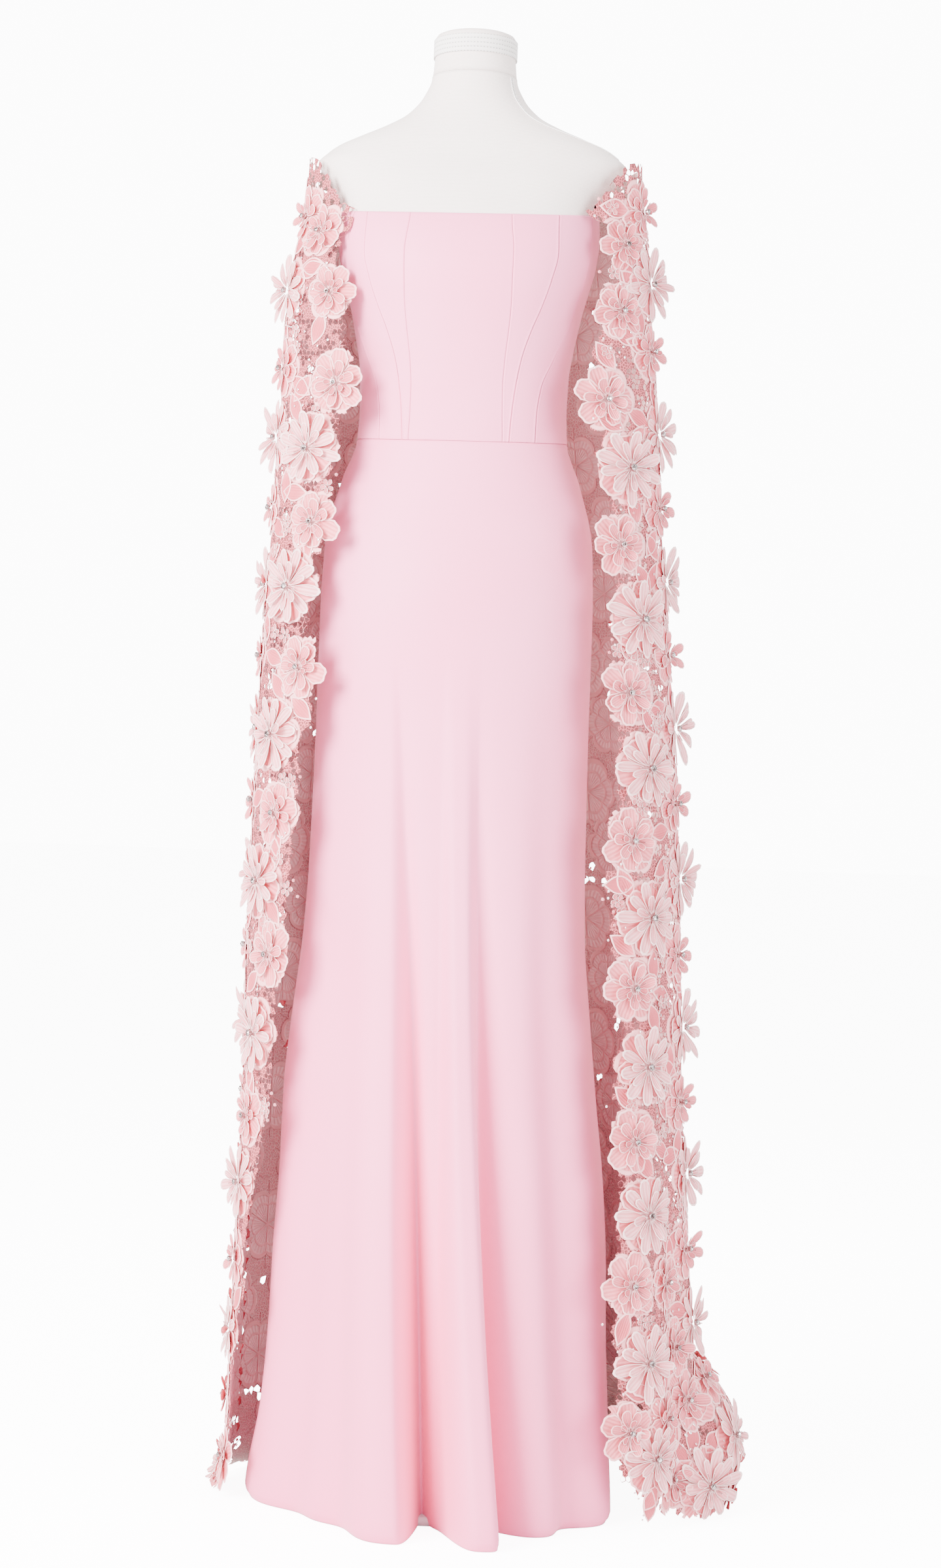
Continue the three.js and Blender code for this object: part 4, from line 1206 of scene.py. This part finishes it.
front_pitch = 7
back_pitch = 9.5
lace_flowers = {}
lace_fillers = {}
for hand, side_name, seen in ((1, "left", left_flowers), (-1, "right", right_flowers)):
    flat = lay_flat(hand)
    behind = back_flowers(flat, hand)
    lace_flowers[side_name] = np.array(seen, float), behind
    places = np.concatenate([np.array(seen, float), behind])
    s, t = to_flat(flat, places[:, 0], places[:, 1])
    motifs = np.stack([s, t, places[:, 2]], -1)
    lean = seed.uniform(0, 2 * np.pi, (len(places), 1)) + leaf_turns
    reach = motifs[:, 2:] * flower_radius + leaf_from_flower
    leaves = np.stack([
        motifs[:, :1] + reach * np.cos(lean), motifs[:, 1:2] + reach * np.sin(lean), lean,
    ], -1).reshape(-1, 3)

    leaf_angle, leaf_height = from_flat(flat, leaves[:, 0], leaves[:, 1], hand)
    top = read_table(cape_top, np.abs(leaf_angle))[0]
    on_lace = (leaf_height > motif_lowest) & (leaf_height < top - leaf_below_top)
    on_lace &= np.abs(leaf_angle) < leaf_end_angle
    on_lace &= np.abs(leaf_angle) > edge_angle(hand, leaf_height) + leaf_from_edge
    leaves = leaves[on_lace]
    leaf_places = np.stack([np.abs(leaf_angle), leaf_height, np.ones(len(on_lace))], -1)[on_lace]
    leaf_turned = -np.arctan2(np.sin(leaves[:, 2]), -hand * np.cos(leaves[:, 2])) - np.pi / 2
    spots = np.stack([
        seed.uniform(*spots_along, spots_tried), seed.uniform(*spots_down, spots_tried),
    ], -1)
    spot_angle, spot_height = from_flat(flat, spots[:, 0], spots[:, 1], hand)
    top = read_table(cape_top, np.abs(spot_angle))[0]
    nearest_flower = np.linalg.norm(spots[:, None] - motifs[None, :, :2], axis=-1).min(1)
    clear = nearest_flower > flower_radius - spot_on_flower
    clear &= (spot_height > spot_lowest) & (spot_height < top - spot_below_top)
    clear &= np.abs(spot_angle) < spot_end_angle
    clear &= np.abs(spot_angle) > edge_angle(hand, spot_height) + spot_from_edge
    rosettes = np.stack([np.abs(spot_angle), spot_height, np.full(len(clear), rosette_size)], -1)[clear]
    lace_fillers[side_name] = leaf_places, leaf_turned, rosettes

    def front_parts(high):
        return (f"lace_strap_{side_name}", high), (f"cape_front_{side_name}", ~high)

    def back_part(high):
        return ((f"cape_back_{side_name}", np.ones_like(high)),)

    honeycomb(flat, hand, "front", front_pitch, motifs, leaves, front_parts)
    honeycomb(flat, hand, "back", back_pitch, motifs, leaves, back_part)

# Worked flowers, leaves and blooms
# Flat flowers and leaves are embroidered on the net, each petal edged with a raised cord and
# filled with long threads. Loose blooms of finger petals, stiffened and edged the same way,
# are sewn on by their hearts, which each hold a faceted crystal in a metal cup.

# How a bloom on the side of the lace stands out behind: from which angle, over how many
# degrees, above which height and over how many millimetres it comes in, by how much the
# bloom is pressed flat in front and over what width.
side_start, side_fade = 66, 20
free_start, free_fade = 120, 200
pressed_share, pressed_width = 0.5, 8
lean_least, lean_most = 0.7, 1.2
bend_radius = 130
straight_lift = 1 / (2 * bend_radius)
petal_seed_share = 0.13
petal_middle = 0.55
lift_growth = 1.5
petal_rings = np.array([0, 0.78, 0.9, 1.0])
petal_ridge = np.array([-0.3, 0.75, 0])


def petal(start, length, half_width, root_share, lifts, cord, cup=0.0, columns=12, pointed=False,
          scallop=0.0):
    """One petal as rings shrinking to its middle. With f round the outline and
    y = (1 - cos f) / 2, the outline is x = w sin f (root + (1 - root) y), start + length y.
    Lift is a share y^1.5 of the way between its root and tip lifts, plus cup x^2 and the
    cord's ridge near the rim. A scallop swells it by cos 7f. The map holds x / w and the ring."""
    f = np.arange(columns) / columns * 2 * np.pi
    y = 1 - np.abs(1 - f / np.pi) if pointed else (1 - np.cos(f)) / 2
    x = half_width * np.sin(f) * (root_share + (1 - root_share) * y)
    outline = np.stack([x, start + length * y], -1)
    middle = np.array([0, start + length * petal_middle])
    outline = middle + (outline - middle) * (1 + scallop * np.cos(7 * f))[:, None]
    rings = petal_rings[1:]
    flat = middle + rings[:, None, None] * (outline - middle)
    ridge = petal_ridge[:, None] * cord
    along = np.clip((flat[..., 1] - start) / length, 0, 1)
    lift = lifts[0] + (lifts[1] - lifts[0]) * along**lift_growth
    lift = lift + cup * (flat[..., 0] / half_width) ** 2 + ridge
    middle_lift = lifts[0] + (lifts[1] - lifts[0]) * petal_middle**lift_growth
    points = np.concatenate([
        np.concatenate([flat, lift[..., None]], -1).reshape(-1, 3),
        [[*middle, middle_lift]],
    ])
    shown = np.stack([
        points[:, 0] / half_width,
        np.concatenate([np.repeat(rings, columns), [0]]),
    ], -1)
    i = np.arange(columns)
    after = (i + 1) % columns
    fan = np.stack([i, after, np.full(columns, len(points) - 1)], -1)
    quads = grid_faces(len(rings), columns, closed=True)[:, ::-1]
    return points, fan, quads, shown


def join_parts(parts):
    """Several parts of points, triangles, quads and map joined into one."""
    points, fans, quads, shown, count = [], [], [], [], 0
    for part_points, part_fans, part_quads, part_shown in parts:
        points.append(part_points)
        fans.append(part_fans + count)
        quads.append(part_quads + count)
        shown.append(part_shown)
        count += len(part_points)
    return np.concatenate(points), np.concatenate(fans), np.concatenate(quads), np.concatenate(shown)


def wreath(count, start, length, half_width, root_share, lifts, cord, cup=0.0, columns=12,
           first=0.0, curl=0.1, pointed=False, scallop=0.0):
    """A ring of petals, each with its own small seeded turn, length, width and lift."""
    parts = []
    for i in range(count):
        change = 1 + seed.uniform(-petal_seed_share, petal_seed_share, 3)
        rise = 1 + seed.uniform(-curl, curl)
        own = (lifts[0] + 0.3 * (i % 3), lifts[1] * rise + 0.3 * (i % 3))
        points, fan, quads, shown = petal(
            start, length * change[0], half_width * change[1], root_share, own, cord, cup, columns,
            pointed, scallop,
        )
        angle = first + (i + change[2] - 1) / count * 2 * np.pi
        c, s = np.cos(angle), np.sin(angle)
        points = np.stack([
            points[:, 0] * c - points[:, 1] * s, points[:, 0] * s + points[:, 1] * c, points[:, 2],
        ], -1)
        parts.append((points, fan, quads, shown))
    return join_parts(parts)


def place_all(name, templates, flowers, hand, material, tilt=0.0, turns=None):
    """One object of templates repeated at (angle, height, size) places, each turned and scaled.
    Round the side of the lace a bloom lies low at the front, and its back half stays straight,
    by x^2 / 2r for a bend of radius r, and leans out by the tilt."""
    parts = []
    for i, (facing, height, size) in enumerate(flowers):
        points, fan, quads, shown = templates[i % len(templates)]
        angle = seed.uniform(0, 2 * np.pi) if turns is None else turns[i]
        c, s = np.cos(angle), np.sin(angle)
        x = (points[:, 0] * c - points[:, 1] * s) * size
        y = (points[:, 0] * s + points[:, 1] * c) * size
        side_on = np.clip((facing - side_start) / side_fade, 0, 1) * (tilt > 0)
        side_on = side_on * np.clip((height - free_start) / free_fade, 0, 1)
        behind = np.clip(-hand * x, 0, None)
        straight = straight_lift * behind**2 * side_on
        leaning = tilt * seed.uniform(lean_least, lean_most) * side_on * behind
        pressed = 1 - pressed_share * side_on * np.exp(-behind / pressed_width)
        lift = points[:, 2] * pressed + leaning + straight
        parts.append((x, y, lift, np.full(len(points), -hand * facing), np.full(len(points), height)))
    x, y, lift, angle, height = np.concatenate([np.stack(part) for part in parts], 1)
    points = on_cape(angle, height, x, y, lift)
    tables = join_parts([templates[i % len(templates)] for i in range(len(flowers))])
    made = add_mesh(name, points, [tables[1], tables[2]], uv=tables[3], material=material, slot="lace")
    tone = made.data.attributes.new("tone", "FLOAT", "POINT")
    distance_out = np.clip(np.hypot(x, y) / flower_radius, 0, 1)
    tone.data.foreach_set("value", distance_out)
    return made


threads_group, given, result = new_group(
    "petal_threads", {"Map": "Vector", "Threads": "Float"}, ("Cord", "Groove", "Height"),
)
t = threads_group
map_x, map_y, _ = axes(t, given["Map"])
cord = step_up(t, map_y, 0.8, 0.87)
wander = noise(t, given["Map"], 3.0, noise_dimensions="2D")
bend = calculate(t, "MULTIPLY_ADD", wander, 2.2, calculate(t, "MULTIPLY", map_x, given["Threads"]))
groove = calculate(t, "MULTIPLY", wave(t, bend), calculate(t, "SUBTRACT", 1.0, cord))
t.links.new(cord, result["Cord"])
t.links.new(groove, result["Groove"])
t.links.new(calculate(t, "MULTIPLY_ADD", groove, 0.45, cord), result["Height"])


def petal_material(name, plain, roughness, deep, pale, cord_painted_light, threads):
    """Worked petal cloth, deeper at the flower's heart, with painted shade in its thread grooves and on its
    underside, and a painted highlight on its raised cord.
    """
    made, tree, shader = new_material(name, plain, roughness)
    worked = use_group(tree, threads_group, {"Map": on_cut(tree), "Threads": threads})
    tone = put(tree, "ShaderNodeAttribute", output="Fac", attribute_name="tone")
    colour = blend(tree, step_up(tree, tone, 0.1, 0.75), deep, pale)
    # Painted shade in the grooves between the threads.
    colour = blend(tree, calculate(tree, "MULTIPLY_ADD", worked["Groove"], 0.6, 0.4), deep, colour)
    # Painted highlight: the raised cord is lighter.
    colour = blend(tree, worked["Cord"], colour, cord_painted_light)
    facing_in = put(tree, "ShaderNodeNewGeometry", output="Backfacing")
    # Painted shade: the underside is deeper.
    colour = blend(tree, calculate(tree, "MULTIPLY", facing_in, 0.6), colour, deep)
    finish_surface(tree, shader, colour, worked["Height"], 0.9)
    return made


lace_petal = petal_material(
    "lace_petal", (0.92, 0.3, 0.31), 0.7,
    deep=(0.64, 0.1, 0.13, 1), pale=(0.95, 0.27, 0.31, 1), cord_painted_light=(0.98, 0.47, 0.49, 1), threads=24.0,
)
bloom_petal = petal_material(
    "bloom_petal", (0.94, 0.42, 0.41), 0.65,
    deep=(0.74, 0.18, 0.21, 1), pale=(0.96, 0.45, 0.48, 1), cord_painted_light=(0.98, 0.62, 0.62, 1), threads=16.0,
)

# Each wreath: its petals, their start, length, half width and root share, the lifts of their
# roots and tips, and the cord's height.
flat_templates = [wreath(6, 4, 33, 15.5, 0.5, (0.8, 1.6), 1.3, columns=20, scallop=0.06) for i in range(4)]
small_bloom_templates = [
    join_parts([
        wreath(6, 4, 24, 9, 0.4, (3, 7), 0.9, columns=12, curl=0.4),
        wreath(5, 5, 11, 5, 0.4, (4, 7), 0.7, columns=8, first=0.5, curl=0.4),
        wreath(14, 4, 13, 0.9, 0.8, (4, 5.5), 0.5, columns=5, first=0.2),
    ])
    for i in range(3)
]
bloom_templates = [
    join_parts([
        wreath(10, 5, 33, 8.2, 0.3, (3, 8), 1.2, cup=1.8, columns=14, curl=0.6),
        wreath(7, 4, 22, 6, 0.3, (5, 12), 1.0, cup=1.4, columns=10, first=0.3, curl=0.5),
        wreath(12, 4, 12, 0.9, 0.8, (6, 9), 0.5, columns=5, first=0.2),
    ])
    for i in range(4)
]
leaf_templates = [wreath(1, -24, 48, 10.5, 1, (1.0, 1.6), 1.2, columns=14, pointed=True) for i in range(2)]
rosette_templates = [wreath(5, 1, 7, 3.6, 0.5, (1.2, 2.2), 0.7, columns=6) for i in range(2)]


def stud(outline, columns, places=((0, 0, 0),)):
    """Round studs turned from (radius, lift) rows, each closed by a middle point at its last
    row's lift, at (x, y, lift) places."""
    rows = np.array(outline, float)
    around = np.arange(columns) / columns * 2 * np.pi
    ring = np.stack([
        rows[:, :1] * np.cos(around), rows[:, :1] * np.sin(around), np.repeat(rows[:, 1:], columns, 1),
    ], -1).reshape(-1, 3)
    last = len(ring) - columns + np.arange(columns)
    points = np.concatenate([ring, [[0, 0, rows[-1, 1]]]])
    fan = np.stack([last, np.roll(last, -1), np.full(columns, len(ring))], -1)
    quads = grid_faces(len(rows), columns, closed=True)
    shown = np.stack([points[:, 0], points[:, 1]], -1) / rows[0, 0]
    return join_parts([(points + np.array(place), fan, quads, shown) for place in places])


# Each stud's outline, from the cloth up, and its sides.
cup_templates = [stud([(3.0, 5), (3.6, 8.6), (3.2, 9.6), (2.3, 8.6)], 10)]
crystal_templates = [stud([(2.5, 8.4), (2.3, 9.2), (1.2, 10.4)], 8)]
bobble_steps = np.array([[15, 4], [-13, 9], [2, -16], [-9, -8]])
bobble_templates = [
    stud([(1.9, 0.4), (1.7, 1.6), (0.9, 2.4)], 6, [(*place, 0) for place in bobble_steps * scale])
    for scale in (1.0, 0.8)
]
sequin_steps = np.array([[18, 3], [-16, 12], [4, -19], [-11, -15]])
sequin_templates = [
    stud([(1.6, 2.4), (1.3, 2.6)], 6, [(*place, 0) for place in sequin_steps * scale])
    for scale in (1.0, 1.3)
]


def shiny_with_painted_reflections(name, plain, roughness, metal, size, dark, bright):
    """A shiny finish with painted reflections: dark in some small places and bright in others."""
    made, tree, shader = new_material(name, plain, roughness)
    painted_reflection = step_up(tree, noise(tree, on_object(tree), size), 0.42, 0.58)
    shader.inputs["Metallic"].default_value = metal
    finish_surface(tree, shader, blend(tree, painted_reflection, dark, bright))
    return made


# Painted reflections: the silver cups, crystals and sequins get dark and bright patches that stand in for
# what they reflect.
silver = shiny_with_painted_reflections("silver", (0.4, 0.3, 0.3), 0.3, 1.0, 500.0, (0.22, 0.15, 0.15, 1), (0.55, 0.44, 0.44, 1))
crystal = shiny_with_painted_reflections("crystal", (1, 0.97, 0.97), 0.06, 0.9, 300.0, (0.1, 0.06, 0.06, 1), (1, 0.95, 0.95, 1))
sequin = shiny_with_painted_reflections("sequin", (1, 0.72, 0.74), 0.12, 0.6, 200.0, (0.9, 0.5, 0.54, 1), (1, 0.85, 0.86, 1))
bloom_tilt = 0.5
small_bloom_tilt = 0.3

for hand, side_name in ((1, "left"), (-1, "right")):
    seen, behind = lace_flowers[side_name]
    for where, flowers in (("front", seen), ("back", behind)):
        place_all(f"flat_flowers_{where}_{side_name}", flat_templates, flowers, hand, lace_petal)
        large = flowers[flowers[:, 2] > 1]
        small = flowers[flowers[:, 2] <= 1]
        place_all(f"blooms_{where}_{side_name}", bloom_templates, large, hand, bloom_petal, bloom_tilt)
        place_all(
            f"small_blooms_{where}_{side_name}", small_bloom_templates, small, hand, lace_petal,
            small_bloom_tilt,
        )
        place_all(f"cups_{where}_{side_name}", cup_templates, flowers, hand, silver)
        stones = place_all(f"crystals_{where}_{side_name}", crystal_templates, flowers, hand, crystal)
        stones.data.polygons.foreach_set("use_smooth", np.zeros(len(stones.data.polygons), bool))
    leaf_places, leaf_turned, rosette_places = lace_fillers[side_name]
    place_all(f"leaves_{side_name}", leaf_templates, leaf_places, hand, lace_petal, turns=leaf_turned)
    place_all(f"rosettes_{side_name}", rosette_templates, rosette_places, hand, bloom_petal)
    bobble_places = seed.permutation(rosette_places)
    place_all(f"bobbles_{side_name}", bobble_templates, bobble_places, hand, bloom_petal)
    sequin_places = seed.permutation(leaf_places)
    place_all(f"sequins_{side_name}", sequin_templates, sequin_places, hand, sequin)
